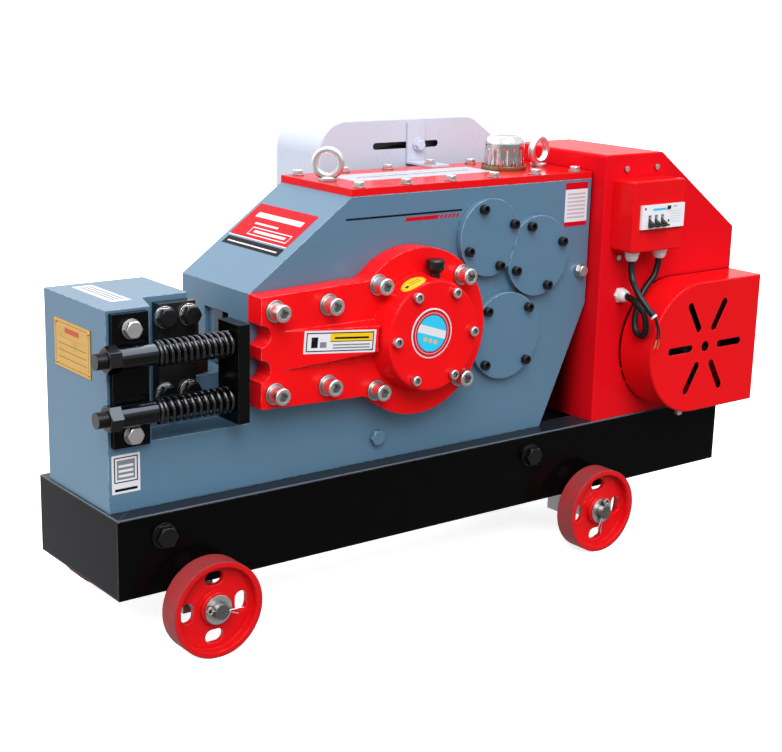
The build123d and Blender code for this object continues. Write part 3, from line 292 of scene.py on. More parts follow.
def blackened(name, colour, roughness, rub, washer_from=None):
    """Oiled black oxide: sheen, rubbed places, and zinc on the washers behind a given Y."""
    f = Finish(name, 0.0012, IOR=1.6)
    cloud = f.noise(48, 4)
    rubbed = f.span(f.noise(95, 5), 0.6, 0.78) * rub
    tone = f.mix(cloud, tinted(colour, 0.7), tinted(colour, 1.35))
    tone = f.mix(rubbed, tone, (0.10, 0.097, 0.094))
    metal = 0.4 + 0.2 * cloud
    if washer_from:
        washer = f.parts(f.place())[1] > washer_from
        tone = f.mix(washer, tone, (0.74, 0.73, 0.72))
        metal = metal * (1 - washer) + washer
    f.set(Base_Color=tone, Metallic=metal, Roughness=roughness + 0.2 * (cloud - 0.5) - 0.1 * rubbed)
    f.relief(f.noise(800, 3), 0.00005)
    return f.material


def ground_steel(name, colour, roughness, along):
    """Ground or turned steel: fine lines across one direction and dull patches."""
    f = Finish(name, 0.0008, Metallic=1.0)
    lines = f.noise(240, 4, f.place(stretch=along))
    cloud = f.noise(22, 4)
    tone = f.mix(lines, tinted(colour, 0.75), colour)
    tone = f.mix(f.span(cloud, 0.55, 0.75) * 0.5, tone, tinted(colour, 0.5))
    f.set(Base_Color=tone, Roughness=roughness + 0.18 * (lines - 0.5) + 0.1 * cloud)
    f.relief(lines, 0.00006)
    return f.material


def cast(name, colour, roughness):
    """Bare or primed casting: sand grain and rust tint in the hollows."""
    f = Finish(name, 0.002, Metallic=0.2, IOR=1.5)
    grain = f.noise(420, 5)
    cloud = f.noise(26, 5)
    tone = f.mix(cloud, tinted(colour, 0.65), tinted(colour, 1.3))
    tone = f.mix(f.span(grain, 0.58, 0.75) * 0.3, tone, (0.09, 0.05, 0.03))
    f.set(Base_Color=tone, Roughness=roughness + 0.2 * (grain - 0.5))
    f.relief(grain + 0.6 * f.noise(110, 3), 0.0003)
    return f.material


def moulded(name, colour, roughness, grain, rounding=0.0006, ior=1.48):
    """Moulded plastic or rubber: fine grain, slight shade and scuffs."""
    f = Finish(name, rounding, IOR=ior)
    cloud = f.noise(40, 4)
    scuff = f.span(f.noise(150, 5), 0.62, 0.75)
    tone = f.mix(cloud, tinted(colour, 0.92), colour)
    tone = f.mix(scuff * 0.15, tone, faded(tinted(colour, 0.8), 0.1))
    f.set(Base_Color=tone, Roughness=roughness + 0.12 * (cloud - 0.5) + 0.1 * scuff)
    f.relief(f.noise(grain, 2), 0.00004)
    return f.material


def engraved_brass():
    """Brass plate: brushed lines, an inked frame, a heading band and ruled lines left blank."""
    low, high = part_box("nameplate")
    middle = [(a + b) / 2 for a, b in zip(low, high)]
    f = Finish("plate_brass", 0.0006, Metallic=0.85)
    spot = f.parts(f.place(centre=middle))
    across = abs(spot[1]) / ((high[1] - low[1]) / 2)
    up = spot[2] / ((high[2] - low[2]) / 2)
    panel = (across < 0.9) * (abs(up) < 0.86)
    edge = (across < 0.925) * (abs(up) < 0.89) * (1 - panel)
    rules = (up * 3.5 % 1 < 0.13) * (up < 0.3) * (up > -0.8) * (across < 0.78)
    ink = f.span(edge + rules, 0.4, 0.6)
    mark = f.inside(across, up, -1, 0.4, 0.5, 0.72)
    brushed = f.noise(300, 4, f.place(stretch=(1, 14, 1)))
    tone = f.mix(brushed, (0.66, 0.38, 0.085), (0.80, 0.50, 0.135))
    tone = f.mix(f.span(f.noise(45, 4), 0.55, 0.72) * 0.3, tone, (0.48, 0.27, 0.07))
    tone = f.mix(mark * 0.85, tone, (0.62, 0.05, 0.02))
    tone = f.mix(ink * 0.75, tone, (0.25, 0.09, 0.03))
    f.set(Base_Color=tone, Roughness=0.34 + 0.15 * (brushed - 0.5) + 0.2 * ink)
    f.relief(brushed * 0.3 - ink, 0.00008)
    return f.material


def breaker_shell():
    """White breaker front: corner screws, a cyan strip, a black button and faint grey print."""
    low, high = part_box("breaker_body")
    f = Finish("breaker_shell", 0.0006, IOR=1.48)
    x, y, z = f.parts(f.place())
    across = (x - low[0]) / (high[0] - low[0])
    up = (z - low[2]) / (high[2] - low[2])
    front = y < low[1] + 0.003
    tone = f.mix(f.noise(40, 4), (0.72, 0.73, 0.76), (0.8, 0.81, 0.83))
    tone = f.mix(front * f.inside(across, up, 0.25, 0.56, 0.76, 0.85), tone, (0.03, 0.45, 0.72))
    tone = f.mix(front * f.inside(across, up, 0.72, 0.82, 0.86, 0.9), tone, (0.25, 0.26, 0.28))
    lines = (up * 9 % 1 < 0.4) * f.inside(across, up, 0.66, 0.92, 0.2, 0.72)
    tone = f.mix(front * lines * 0.3, tone, (0.3, 0.32, 0.35))
    for place, height in ((0.07, 0.86), (0.63, 0.3)):
        gap = ((across - place) * 2.5) ** 2 + (up - height) ** 2
        tone = f.mix(front * (gap < 0.003), tone, (0.01, 0.01, 0.01))
    button = y < low[1] + 0.0015
    tone = f.mix(button, tone, (0.008, 0.008, 0.009))
    f.set(Base_Color=tone, Roughness=0.3 + 0.1 * f.noise(150, 3))
    f.relief(f.noise(900, 2), 0.00003)
    return f.material


def tyre_paint(name, wheel):
    """Cast wheel: lumpy paint, a tread dulled by rolling, and painted shade in corners."""
    low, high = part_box(wheel)
    radius = (high[2] - low[2]) / 2
    f = Finish(name, 0.0030, IOR=1.30)
    x, _, z = f.parts(f.place(centre=((low[0] + high[0]) / 2, 0, low[2] + radius)))
    cloud = f.noise(40, 4)
    tread = f.span((x * x + z * z) ** 0.5, radius - 0.0025, radius - 0.0008)
    worn = f.rim() * f.span(f.noise(90, 4), 0.42, 0.6) * 0.4
    tone = f.mix(f.noise(6, 3), tinted(red, 0.85), tinted(red, 0.95))
    tone = f.mix(tread * (0.5 + 0.6 * cloud), tone, (0.20, 0.036, 0.038))
    tone = f.mix(worn, tone, (0.40, 0.07, 0.06))
    # Painted shade in corners and recesses, from occlusion.
    tone = f.mix(f.hollows(0.012, 0.3, 0.85) * 0.6, tone, tinted(red, 0.15))
    f.set(Base_Color=tone, Roughness=0.26 + 0.25 * tread + 0.06 * cloud)
    f.relief(0.3 * f.noise(330, 2) + 1.6 * f.noise(75, 3), 0.0001)
    return f.material


def clamp_black():
    """Black bracket of the spring clamp, whose tubes are glossier than its plate."""
    plate_thickness = 0.015
    plate_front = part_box("clamp_bracket")[1][1] - plate_thickness
    f = Finish("bracket_black", 0.0015, IOR=1.22, Coat_IOR=1.32, Coat_Roughness=0.1)
    tube = f.parts(f.place())[1] < plate_front
    cloud = f.noise(30, 3)
    tone = f.mix(cloud, tinted(black, 0.8), tinted(black, 1.3))
    tone = f.mix(f.rim() * f.span(f.noise(90, 4), 0.42, 0.6) * 0.5, tone, (0.06, 0.06, 0.06))
    f.set(Base_Color=tone, Roughness=0.16 + 0.06 * cloud, Coat_Weight=tube * 0.9)
    f.relief(0.1 * f.noise(330, 2) + 0.2 * f.noise(75, 3), 0.0001)
    return f.material


def rod_black():
    """Black clamp rods with fine threads at their left ends."""
    thread_pitch = 0.002
    thread_length = 0.034
    thread_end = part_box("clamp_rods")[0][0] + thread_length
    f = Finish("rod_black", 0.001, IOR=1.4)
    x = f.parts(f.place())[0]
    thread = abs(x / thread_pitch % 1 - 0.5) * (x < thread_end)
    tone = f.mix(f.noise(60, 4), tinted(black, 0.7), tinted(black, 1.4))
    tone = f.mix(f.span(thread, 0.38, 0.5) * 0.3, tone, (0.12, 0.12, 0.12))
    f.set(Base_Color=tone, Roughness=0.22 + 0.1 * f.noise(40, 3))
    f.relief(thread, 0.0012)
    return f.material


red = (0.73, 0.004, 0.007)
# cover_red is a lighter and hood_red a darker copy of the one red paint: painted light on the crank cover,
# painted shade on the hood.
cover_red = (0.80, 0.004, 0.006)
hood_red = (0.69, 0.004, 0.010)
grey_blue = (0.080, 0.172, 0.262)
black = (0.0016, 0.0016, 0.0018)
white = (0.535, 0.575, 0.67)
# Colours of the paint edges: partly rubbed paint, partly a painted highlight.
pale_red = (0.72, 0.22, 0.22)
pale_blue = (0.48, 0.58, 0.66)
pale_grey = (0.55, 0.55, 0.56)
dark_grey = (0.05, 0.05, 0.05)
even = {"peel": 0.10, "lumps": 0.15}
sheet = {"roughness": 0.16, "rounding": 0.0012, "worn": pale_red, "rub_and_highlight": 0.35, **even}

finishes = {
    "red_paint": paint("red_sheet", red, ior=1.20, **sheet),
    "grey_blue_paint": paint("grey_blue_paint", grey_blue, roughness=0.36, ior=1.62, rounding=0.0022,
                             peel=0.16, lumps=0.3, worn=pale_blue, rub_and_highlight=0.7),
    "black_paint": paint("black_paint", black, roughness=0.14, ior=1.22, rounding=0.0020,
                         worn=dark_grey, rub_and_highlight=0.4, **even),
    "white_paint": paint("white_paint", white, roughness=0.28, ior=1.42, rounding=0.0010,
                         worn=pale_grey, rub_and_highlight=0.2, **even),
    "zinc": plated("zinc", (0.84, 0.82, 0.79), roughness=0.33, rounding=0.0008),
    "bright_chrome": plated("bright_chrome", (0.82, 0.81, 0.79), roughness=0.07, rounding=0.0006),
    "aged_brass": plated("aged_brass", (0.42, 0.30, 0.14), roughness=0.30, rounding=0.0006),
    "black_oxide": blackened("black_oxide", (0.010, 0.0098, 0.0105), roughness=0.34, rub=0.3),
    "tool_steel": ground_steel("tool_steel", (0.075, 0.042, 0.034), roughness=0.40, along=(1, 1, 12)),
    "machined_steel": ground_steel("machined_steel", (0.30, 0.295, 0.29), roughness=0.30, along=(1, 16, 1)),
    "cast_iron": cast("cast_iron", (0.06, 0.062, 0.066), roughness=0.55),
    "plate_brass": engraved_brass(),
    "belt_rubber": moulded("belt_rubber", (0.014, 0.014, 0.015), roughness=0.7, grain=900),
    "cable_rubber": moulded("cable_rubber", (0.004, 0.0045, 0.006), roughness=0.34, grain=600,
                            rounding=0, ior=1.34),
    "white_plastic": moulded("white_plastic", (0.74, 0.74, 0.73), roughness=0.34, grain=900),
    "black_plastic": moulded("black_plastic", (0.007, 0.007, 0.008), roughness=0.3, grain=900),
    "fan_plastic": moulded("fan_plastic", (0.03, 0.03, 0.032), roughness=0.5, grain=700),
}
cast_red = paint("red_casting", cover_red, roughness=0.17, ior=1.20, rounding=0.0028,
                 peel=0.25, lumps=0.9, worn=pale_red, rub_and_highlight=0.5)
gloss_black = paint("gloss_black", black, roughness=0.14, ior=1.46, rounding=0.0010,
                    worn=dark_grey, rub_and_highlight=0.4, **even)
spring_black = paint("spring_black", black, roughness=0.10, ior=1.70, rounding=0.0005,
                     worn=dark_grey, rub_and_highlight=0.2, **even)

# Nodes with a finish of their own
washer_thickness = 0.0041
washer_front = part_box("blade_holder")[0][1] - washer_thickness
own_finish = {
    "base_frame": base_black(),
    "base_bolts": gloss_black,
    "crank_cover": cast_red,
    "crank_cap": cast_red,
    "moving_blade": ground_steel("blade_steel", (0.16, 0.18, 0.20), roughness=0.35, along=(1, 1, 12)),
    "holder_bolts": blackened("holder_bolt_black", (0.008, 0.008, 0.0085), roughness=0.26, rub=0.2,
                              washer_from=washer_front),
    "clamp_bracket": clamp_black(),
    "clamp_rods": rod_black(),
    "clamp_nuts": gloss_black,
    "motor_hood": paint("red_hood", hood_red, ior=1.11, shade=hood_gap, **sheet),
    "motor_guard": paint("red_drum", red, ior=1.20, shade=drum_painted_shade, **sheet),
    "breaker_body": breaker_shell(),
}
for side in ("left", "right"):
    tyre = tyre_paint(side + "_tyre", "wheel_front_" + side)
    own_finish["wheel_front_" + side] = tyre
    own_finish["wheel_rear_" + side] = tyre
for subpart in frame["record"]["subparts"]:
    node = nodes[subpart["node"]]
    finish = finishes[subpart["material_slot"]]
    node.data.materials.clear()
    node.data.materials.append(own_finish.get(subpart["node"], finish))


# Modelling helpers
def deselect():
    bpy.ops.object.select_all(action="DESELECT")


def start(name):
    """Take the primitive just added into edit mode."""
    piece = bpy.context.object
    piece.name = name
    bpy.ops.object.mode_set(mode="EDIT")
    bpy.ops.mesh.select_all(action="SELECT")
    return piece


def pick(piece, test):
    """Select the vertices whose place passes a test."""
    bpy.ops.mesh.select_all(action="DESELECT")
    bpy.ops.mesh.select_mode(type="VERT")
    mesh = bmesh.from_edit_mesh(piece.data)
    for vertex in mesh.verts:
        vertex.select_set(test(vertex.co))
    mesh.select_flush(True)
    bmesh.update_edit_mesh(piece.data)


def push(x, y, z):
    """Extrude what is selected by a step."""
    bpy.ops.mesh.extrude_region_move(TRANSFORM_OT_translate={"value": (x, y, z)})


def close(piece):
    """Merge doubles, turn the faces outwards, leave edit mode and settle the place into the mesh."""
    bpy.ops.mesh.select_all(action="SELECT")
    bpy.ops.mesh.remove_doubles(threshold=1e-6)
    bpy.ops.mesh.normals_make_consistent(inside=False)
    bpy.ops.object.mode_set(mode="OBJECT")
    bpy.ops.object.transform_apply(location=True, rotation=True, scale=True)


def fit(piece, body, finish, smooth=None):
    """Finish a piece and let it ride a body. Edges up to the angle smooth, in degrees, are shaded smooth."""
    if smooth:
        bpy.ops.object.shade_smooth_by_angle(angle=radians(smooth))
    piece.data.materials.append(finish)
    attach(piece, body)
    deselect()
    return piece


# Cords
cable_diameter = 0.0116
supply_route = [(0.370, -0.1875, 0.534), (0.370, -0.1875, 0.494), (0.358, -0.2175, 0.469),
                (0.363, -0.2375, 0.447), (0.370, -0.2515, 0.430)]
lead_route = [(0.441, -0.1875, 0.534), (0.441, -0.1875, 0.494), (0.405, -0.1895, 0.468),
              (0.381, -0.1935, 0.426), (0.374, -0.2035, 0.390), (0.373, -0.2315, 0.390),
              (0.370, -0.2305, 0.432), (0.368, -0.2095, 0.445), (0.372, -0.1895, 0.455),
              (0.372, -0.1675, 0.455)]


def cable(name, route):
    """A round cable along a route."""
    curve = bpy.data.curves.new(name, "CURVE")
    curve.dimensions = "3D"
    curve.bevel_depth = cable_diameter / 2
    curve.bevel_resolution = 6
    curve.resolution_u = 24
    curve.use_fill_caps = True
    line = curve.splines.new("NURBS")
    line.points.add(len(route) - 1)
    for point, place in zip(line.points, route):
        point.co = (*place, 1)
    line.order_u = 3
    line.use_endpoint_u = True
    piece = bpy.data.objects.new(name, curve)
    bpy.context.scene.collection.objects.link(piece)
    return fit(piece, "frame", finishes["cable_rubber"])


def strand(name, first, steps, radius, finish):
    """A thin wire, drawn out step by step from a disc, with a tapered tip."""
    tip_share = 0.7
    deselect()
    bpy.ops.mesh.primitive_circle_add(vertices=14, radius=radius, fill_type="NGON", location=first)
    piece = start(name)
    for step in steps:
        push(*step)
    bpy.ops.transform.resize(value=(tip_share, tip_share, 1))
    close(piece)
    return fit(piece, "frame", finish, 50)


def jacket_end(tip, way):
    """Cut end of the supply cable's jacket: a collar with a groove round the conductors."""
    radius = 0.0062
    start_back = 0.003
    length = 0.0036
    deselect()
    bpy.ops.mesh.primitive_circle_add(vertices=28, radius=radius, fill_type="NGON",
                                      location=tip - start_back * way,
                                      rotation=way.to_track_quat("Z", "Y").to_euler())
    collar = start("cable_collar")
    push(*(length * way))
    bpy.ops.mesh.inset(thickness=0.0013, depth=0.0006)
    bpy.ops.mesh.inset(thickness=0.0008, depth=-0.0004)
    close(collar)
    return fit(collar, "frame", finishes["white_plastic"], 50)


def bare_end():
    """Collar and three conductors with copper ends, hanging from the free end of the supply cable."""
    core_radius = 0.0015
    copper_radius = 0.0009
    cores = {"core_dark": (0.006, 0.006, 0.007), "core_blue": (0.012, 0.02, 0.045),
             "core_brown": (0.035, 0.012, 0.006)}
    offsets = ((-0.0016, -0.0008), (0.0015, -0.0013), (0.0004, 0.0017))
    copper = plated("bright_copper", (0.78, 0.36, 0.14), roughness=0.28, rounding=0)
    tip = Vector(supply_route[-1])
    way = (tip - Vector(supply_route[-2])).normalized()
    pieces = [jacket_end(tip, way)]
    for (name, colour), (aside, forward) in zip(cores.items(), offsets):
        first = tip + Vector((aside, forward, 0))
        steps = ((0.0035, -0.0008, -0.006), (0.0040, 0, -0.009), (0.0035 + aside / 3, 0, -0.010),
                 (0.0010 + aside / 2, 0, -0.010), (-0.0008 + aside / 2, 0, -0.006))
        rubber = moulded(name, colour, roughness=0.35, grain=800)
        core = strand(name, first, steps, core_radius, rubber)
        last = first + sum((Vector(step) for step in steps), Vector())
        ends = ((-0.0012 + aside / 3, 0, -0.006), (-0.0022 + aside / 3, 0, -0.007), (-0.0020, 0, -0.004))
        pieces += [core, strand(name + "_copper", last, ends, copper_radius, copper)]
    return pieces


supply = cable("supply_cord", supply_route)
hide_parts("supply_cable")
bare_end()
lead = cable("lead_cord", lead_route)
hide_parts("motor_lead")


# Springs on the clamp rods
wire_radius = 0.0028
coil_radius = 0.0176


def coil(name, turns, length, centre):
    """Helical spring along X, with one closed turn at each end."""
    closed = 2.06 * wire_radius
    open_run = length - 2 * wire_radius - 2 * closed
    open_from = wire_radius + closed
    runs = [(1, closed, wire_radius), (turns, open_run, open_from), (1, closed, open_from + open_run)]
    pieces = []
    for count, rise, begin in runs:
        deselect()
        bpy.ops.mesh.primitive_circle_add(vertices=14, radius=wire_radius,
                                          location=(begin, 0, coil_radius), rotation=(pi / 2, 0, 0))
        piece = bpy.context.object
        bpy.ops.object.transform_apply(location=True, rotation=True)
        screw = piece.modifiers.new("turns", "SCREW")
        screw.axis = "X"
        screw.angle = 2 * pi * count
        screw.screw_offset = rise
        screw.steps = 36 * count
        screw.render_steps = 36 * count
        screw.use_merge_vertices = False
        bpy.ops.object.modifier_apply(modifier="turns")
        pieces.append(piece)
    for piece in pieces:
        piece.select_set(True)
    bpy.context.view_layer.objects.active = pieces[0]
    bpy.ops.object.join()
    spring = start(name)
    bpy.ops.mesh.remove_doubles(threshold=1e-5)
    bpy.ops.mesh.fill_holes(sides=20)
    close(spring)
    spring.location = centre
    bpy.ops.object.transform_apply(location=True)
    return fit(spring, "frame", spring_black, 60)


for level, turns in (("high", 13), ("low", 12)):
    low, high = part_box("spring_" + level)
    centre = (low[0], (low[1] + high[1]) / 2, (low[2] + high[2]) / 2)
    spring = coil("coil_" + level, turns - 2, high[0] - low[0], centre)
    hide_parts("spring_" + level)
    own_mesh(spring)


# Labels
def label_print(name, ground, patches, rules=()):
    """Printed film: patches of ink, ruled lines, faint dirt and scuffs.

    A patch is an ink with its left, right, low and high edge in shares of the label. Rules add their number.
    """
    f = Finish(name, IOR=1.13)
    across, up, _ = f.parts(f.node("TexCoord", {}, out=2))
    tone = f.mix(f.noise(50, 3), tinted(ground, 0.94), ground)
    for colour, left, right, low, high in patches:
        tone = f.mix(f.inside(across, up, left, right, low, high), tone, colour)
    for colour, left, right, low, high, count in rules:
        lines = (up - low) / (high - low) * count % 1 < 0.5
        tone = f.mix(lines * f.inside(across, up, left, right, low, high), tone, colour)
    scuff = f.span(f.noise(150, 5), 0.62, 0.76)
    tone = f.mix(scuff * 0.1, tone, (0.45, 0.44, 0.42))
    f.set(Base_Color=tone, Roughness=0.24 + 0.15 * scuff)
    f.relief(f.noise(60, 2), 0.00006)
    return f.material


def lay_flat(piece, size):
    """A map of the flat piece, from 0 to 1 across and up."""
    flat = piece.data.uv_layers.active or piece.data.uv_layers.new()
    for loop in piece.data.loops:
        spot = piece.data.vertices[loop.vertex_index].co
        flat.data[loop.index].uv = (spot.x / size[0] + 0.5, spot.y / size[1] + 0.5)


def stand(piece, middle, across, up):
    """Turn a flat piece to read along across and up, and settle it at its place."""
    across, up = Vector(across).normalized(), Vector(up).normalized()
    turn = Matrix((across, up, across.cross(up))).transposed().to_4x4()
    piece.matrix_world = Matrix.Translation(Vector(middle)) @ turn
    bpy.ops.object.transform_apply(location=True, rotation=True)


def sticker(name, size, middle, across, up, finish, corner=0.0, lean=0.0):
    """A thin label with its face in the plane of across and up.

    Corner is the radius of its corners, and lean how far its upper edge leans along across.
    """
    thickness = 0.0003
    deselect()
    bpy.ops.mesh.primitive_plane_add(size=1)
    piece = start(name)
    bpy.ops.transform.resize(value=(size[0], size[1], 1))
    if lean:
        pick(piece, lambda spot: spot.y > 0)
        bpy.ops.transform.translate(value=(lean, 0, 0))
    bpy.ops.mesh.select_all(action="SELECT")
    if corner:
        bpy.ops.mesh.bevel(offset=corner, segments=5, affect="VERTICES")
        bpy.ops.mesh.select_all(action="SELECT")
    push(0, 0, thickness)
    close(piece)
    lay_flat(piece, size)
    stand(piece, middle, across, up)
    return fit(piece, "frame", finish)


def copied(piece, name, step):
    """A copy of a piece with its own mesh, moved by a step."""
    twin = piece.copy()
    twin.data = piece.data.copy()
    twin.name = name
    twin.data.transform(Matrix.Translation(step))
    bpy.context.scene.collection.objects.link(twin)
    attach(twin, "frame")


ink = (0.008, 0.008, 0.010)
grey_ink = (0.20, 0.21, 0.23)
pale_ink = (0.50, 0.42, 0.46)
film = (0.70, 0.70, 0.74)
signal_red = (0.54, 0.004, 0.012)
yellow = (0.80, 0.52, 0.01)
right, rear, top = (1, 0, 0), (0, 1, 0), (0, 0, 1)
left, front = (-1, 0, 0), (0, -1, 0)
head_left, front_face, housing_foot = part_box("machine_frame")[0]
housing_right, _, housing_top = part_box("machine_frame")[1]
plate_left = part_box("top_plate")[0][0]
plate_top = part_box("top_plate")[1][2]
breather_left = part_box("breather_base")[0][0]
head_top = 0.530
small_corner = 0.001

# Labels on the head, the housing's front and the top plate
head_print = label_print("head_print", film, [], [(grey_ink, 0.08, 0.92, 0.2, 0.85, 3)])
head_label = (head_left + 0.053, -0.0145, head_top)
sticker("label_head", (0.130, 0.034), head_label, rear, left, head_print, small_corner)

front_print = label_print("front_print", film,
                          [(ink, 0.08, 0.92, 0.28, 0.94), (film, 0.12, 0.88, 0.31, 0.91),
                           (grey_ink, 0.18, 0.82, 0.36, 0.86)],
                          [(film, 0.24, 0.76, 0.42, 0.80, 3), (ink, 0.1, 0.9, 0.06, 0.2, 1)])
front_label = (head_left + 0.02825, front_face, housing_foot + 0.0588)
sticker("label_front", (0.0465, 0.0596), front_label, right, top, front_print, small_corner)

top_print = label_print("top_print", tinted(film, 0.8), [], [(grey_ink, 0.1, 0.9, 0.42, 0.58, 1)])
top_label_size = (0.301, 0.077)
top_label = (breather_left - 0.002 - top_label_size[0] / 2, -0.015, plate_top)
sticker("label_top", top_label_size, top_label, right, rear, top_print, small_corner)

rating_print = label_print("rating_print", film, [(signal_red, 0, 1, 0.84, 1), (signal_red, 0, 1, 0, 0.1)],
                           [(pale_ink, 0.1, 0.9, 0.18, 0.8, 7)])
rating_label = (housing_right - 0.03475, front_face, housing_top - 0.0435)
sticker("label_rating", (0.0535, 0.077), rating_label, right, top, rating_print, small_corner)

# Panel and band on the slope
slope_foot = Vector((-0.396, 0, head_top))
slope_top = Vector((plate_left, 0, housing_top))
slope_up = (slope_top - slope_foot).normalized()
panel_print = label_print("panel_print", signal_red,
                          [(film, 0, 1, 0, 0.025), (film, 0.26, 0.93, 0.11, 0.34),
                           (signal_red, 0.27, 0.92, 0.135, 0.315), (film, 0.33, 0.86, 0.19, 0.26),
                           (film, 0.22, 0.62, 0.42, 0.47), (film, 0.12, 0.90, 0.62, 0.76)])
panel_middle = slope_foot + 0.1395 * slope_up + Vector((0, -0.0215, 0))
sticker("label_slope", (0.168, 0.077), panel_middle, front, slope_up, panel_print, 0.0015)
band_print = label_print("band_print", ink, [], [(film, 0.06, 0.94, 0.36, 0.66, 1)])
band_middle = slope_foot + 0.0895 * slope_up + Vector((0, -0.024, 0))
sticker("band_slope", (0.163, 0.017), band_middle, front, slope_up, band_print)

# Label on the raised arm of the crank cover
hump_run = Vector((0.177, -0.022, -0.0124))
hump_along = hump_run.normalized()
hump_out = Vector((hump_run.y, -hump_run.x, 0)).normalized()
hump_middle = (-0.261, -0.18105, 0.4494)
hump_print = label_print("hump_print", film,
                         [(ink, 0.03, 0.97, 0.08, 0.92), (film, 0.045, 0.955, 0.13, 0.87),
                          (yellow, 0.36, 0.95, 0.53, 0.87), (ink, 0.36, 0.95, 0.50, 0.535),
                          (ink, 0.10, 0.19, 0.25, 0.72), (grey_ink, 0.22, 0.31, 0.25, 0.5)],
                         [(ink, 0.42, 0.9, 0.62, 0.8, 1), (grey_ink, 0.4, 0.92, 0.2, 0.46, 2)])
hump_up = hump_out.cross(hump_along)
sticker("label_hump", (0.127, 0.036), hump_middle, hump_along, hump_up, hump_print, small_corner)

# Stripe under the top plate: a thin line, and below it a leaning bar that ends in dashes
line_level = housing_top - 0.0355
bar_level = housing_top - 0.0435
bar_height = 0.0062
bar_lean = 0.004
dash_step = Vector((0.0085, 0, 0))
stripe_print = label_print("stripe_print", ink, [])
dash_print = label_print("dash_print", signal_red, [])
line_middle = (-0.099, front_face, line_level)
bar_middle = (-0.067, front_face, bar_level)
dash_middle = (-0.026, front_face, bar_level)
sticker("stripe_line", (0.236, 0.0030), line_middle, right, top, stripe_print)
sticker("stripe_bar", (0.068, bar_height), bar_middle, right, top, dash_print, lean=bar_lean)
dash = sticker("stripe_dash_1", (0.0045, bar_height), dash_middle, right, top, dash_print, lean=bar_lean)
for k in range(1, 5):
    copied(dash, "stripe_dash_%d" % (k + 1), k * dash_step)


# Badge and oil label on the crank cap
cap_low, cap_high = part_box("crank_cap")
cap_radius = (cap_high[0] - cap_low[0]) / 2
cap_middle = Vector((cap_low[0] + cap_radius, cap_low[1], cap_low[2] + cap_radius))
badge_middle = cap_middle + Vector((-0.006, 0, 0.0055))
badge_radius = 0.041


def badge_print():
    """Round badge: white rim, red ring, blue field with a pale slanted band and plain orange dots."""
    f = Finish("badge_print", IOR=1.5)
    band_turn = radians(18)
    dot_radius = 0.0036
    dot_level = -0.012
    x, _, z = f.parts(f.place(centre=badge_middle, turn=(0, band_turn, 0)))
    reach = (x * x + z * z) ** 0.5 / badge_radius
    tone = f.mix(f.noise(60, 3), (0.02, 0.50, 0.78), (0.03, 0.58, 0.84))
    tone = f.mix((z < 0.0095) * (z > -0.0035), tone, film)
    for place in (-0.010, 0.001, 0.012):
        gap = ((x - place) ** 2 + (z - dot_level) ** 2) ** 0.5
        tone = f.mix(gap < dot_radius, tone, (0.84, 0.40, 0.08))
    tone = f.mix(reach > 0.72, tone, (0.05, 0.06, 0.20))
    tone = f.mix(reach > 0.75, tone, signal_red)
    tone = f.mix((reach > 0.80) * (reach < 0.83), tone, (0.80, 0.35, 0.33))
    tone = f.mix(reach > 0.945, tone, film)
    f.set(Base_Color=tone, Roughness=0.2 + 0.1 * f.noise(150, 4))
    f.relief(f.noise(70, 2), 0.00005)
    return f.material


def round_badge():
    """Badge with a raised rim on the face of the crank cap."""
    deselect()
    bpy.ops.mesh.primitive_circle_add(vertices=72, radius=badge_radius, fill_type="NGON",
                                      location=badge_middle, rotation=(pi / 2, 0, 0))
    badge = start("badge_crank")
    push(0, -0.0007, 0)
    bpy.ops.mesh.inset(thickness=0.0006, depth=0.0003)
    bpy.ops.mesh.inset(thickness=0.0022, depth=0)
    bpy.ops.mesh.inset(thickness=0.0004, depth=-0.0003)
    close(badge)
    fit(badge, "frame", badge_print(), 35)


def oil_print():
    """Yellow film with a thin border, one dark patch and plain lines."""
    f = Finish("oil_print", IOR=1.45)
    across, up, _ = f.parts(f.node("TexCoord", {}, out=2))
    reach = ((across - 0.5) ** 2 + (up - 0.5) ** 2) ** 0.5 * 2
    lines = (up * 5 % 1 < 0.35) * f.inside(across, up, 0.36, 0.8, 0.3, 0.72)
    tone = f.mix(f.noise(60, 3), tinted(yellow, 0.92), yellow)
    tone = f.mix(lines, tone, (0.35, 0.10, 0.02))
    tone = f.mix(f.inside(across, up, 0.17, 0.29, 0.42, 0.62), tone, ink)
    tone = f.mix((reach > 0.9) * (reach < 0.95), tone, (0.5, 0.16, 0.01))
    f.set(Base_Color=tone, Roughness=0.28 + 0.1 * f.noise(120, 3))
    f.relief(f.noise(80, 2), 0.00004)
    return f.material


def oval_label():
    """Yellow oval laid round the flank of the crank cap."""
    size = (0.051, 0.028)
    angle = radians(111)
    behind_face = 0.0150
    lift = 0.0003
    out = Vector((cos(angle), 0, sin(angle)))
    along = Vector((sin(angle), 0, -cos(angle)))
    deselect()
    bpy.ops.mesh.primitive_circle_add(vertices=40, radius=0.5, fill_type="TRIFAN")
    piece = start("label_oil")
    bpy.ops.mesh.subdivide(number_cuts=4)
    bpy.ops.transform.resize(value=(size[0], size[1], 1))
    close(piece)
    lay_flat(piece, size)
    middle = cap_middle + (cap_radius + lift) * out + Vector((0, behind_face, 0))
    stand(piece, middle, along, out.cross(along))
    wrap = piece.modifiers.new("wrap", "SHRINKWRAP")
    wrap.target = nodes["crank_cap"]
    wrap.wrap_method = "NEAREST_SURFACEPOINT"
    wrap.wrap_mode = "OUTSIDE_SURFACE"
    wrap.offset = 0.00025
    bpy.ops.object.modifier_apply(modifier="wrap")
    skin = piece.modifiers.new("skin", "SOLIDIFY")
    skin.thickness = 0.0003
    skin.offset = 1
    bpy.ops.object.modifier_apply(modifier="skin")
    fit(piece, "frame", oil_print(), 40)


round_badge()
oval_label()


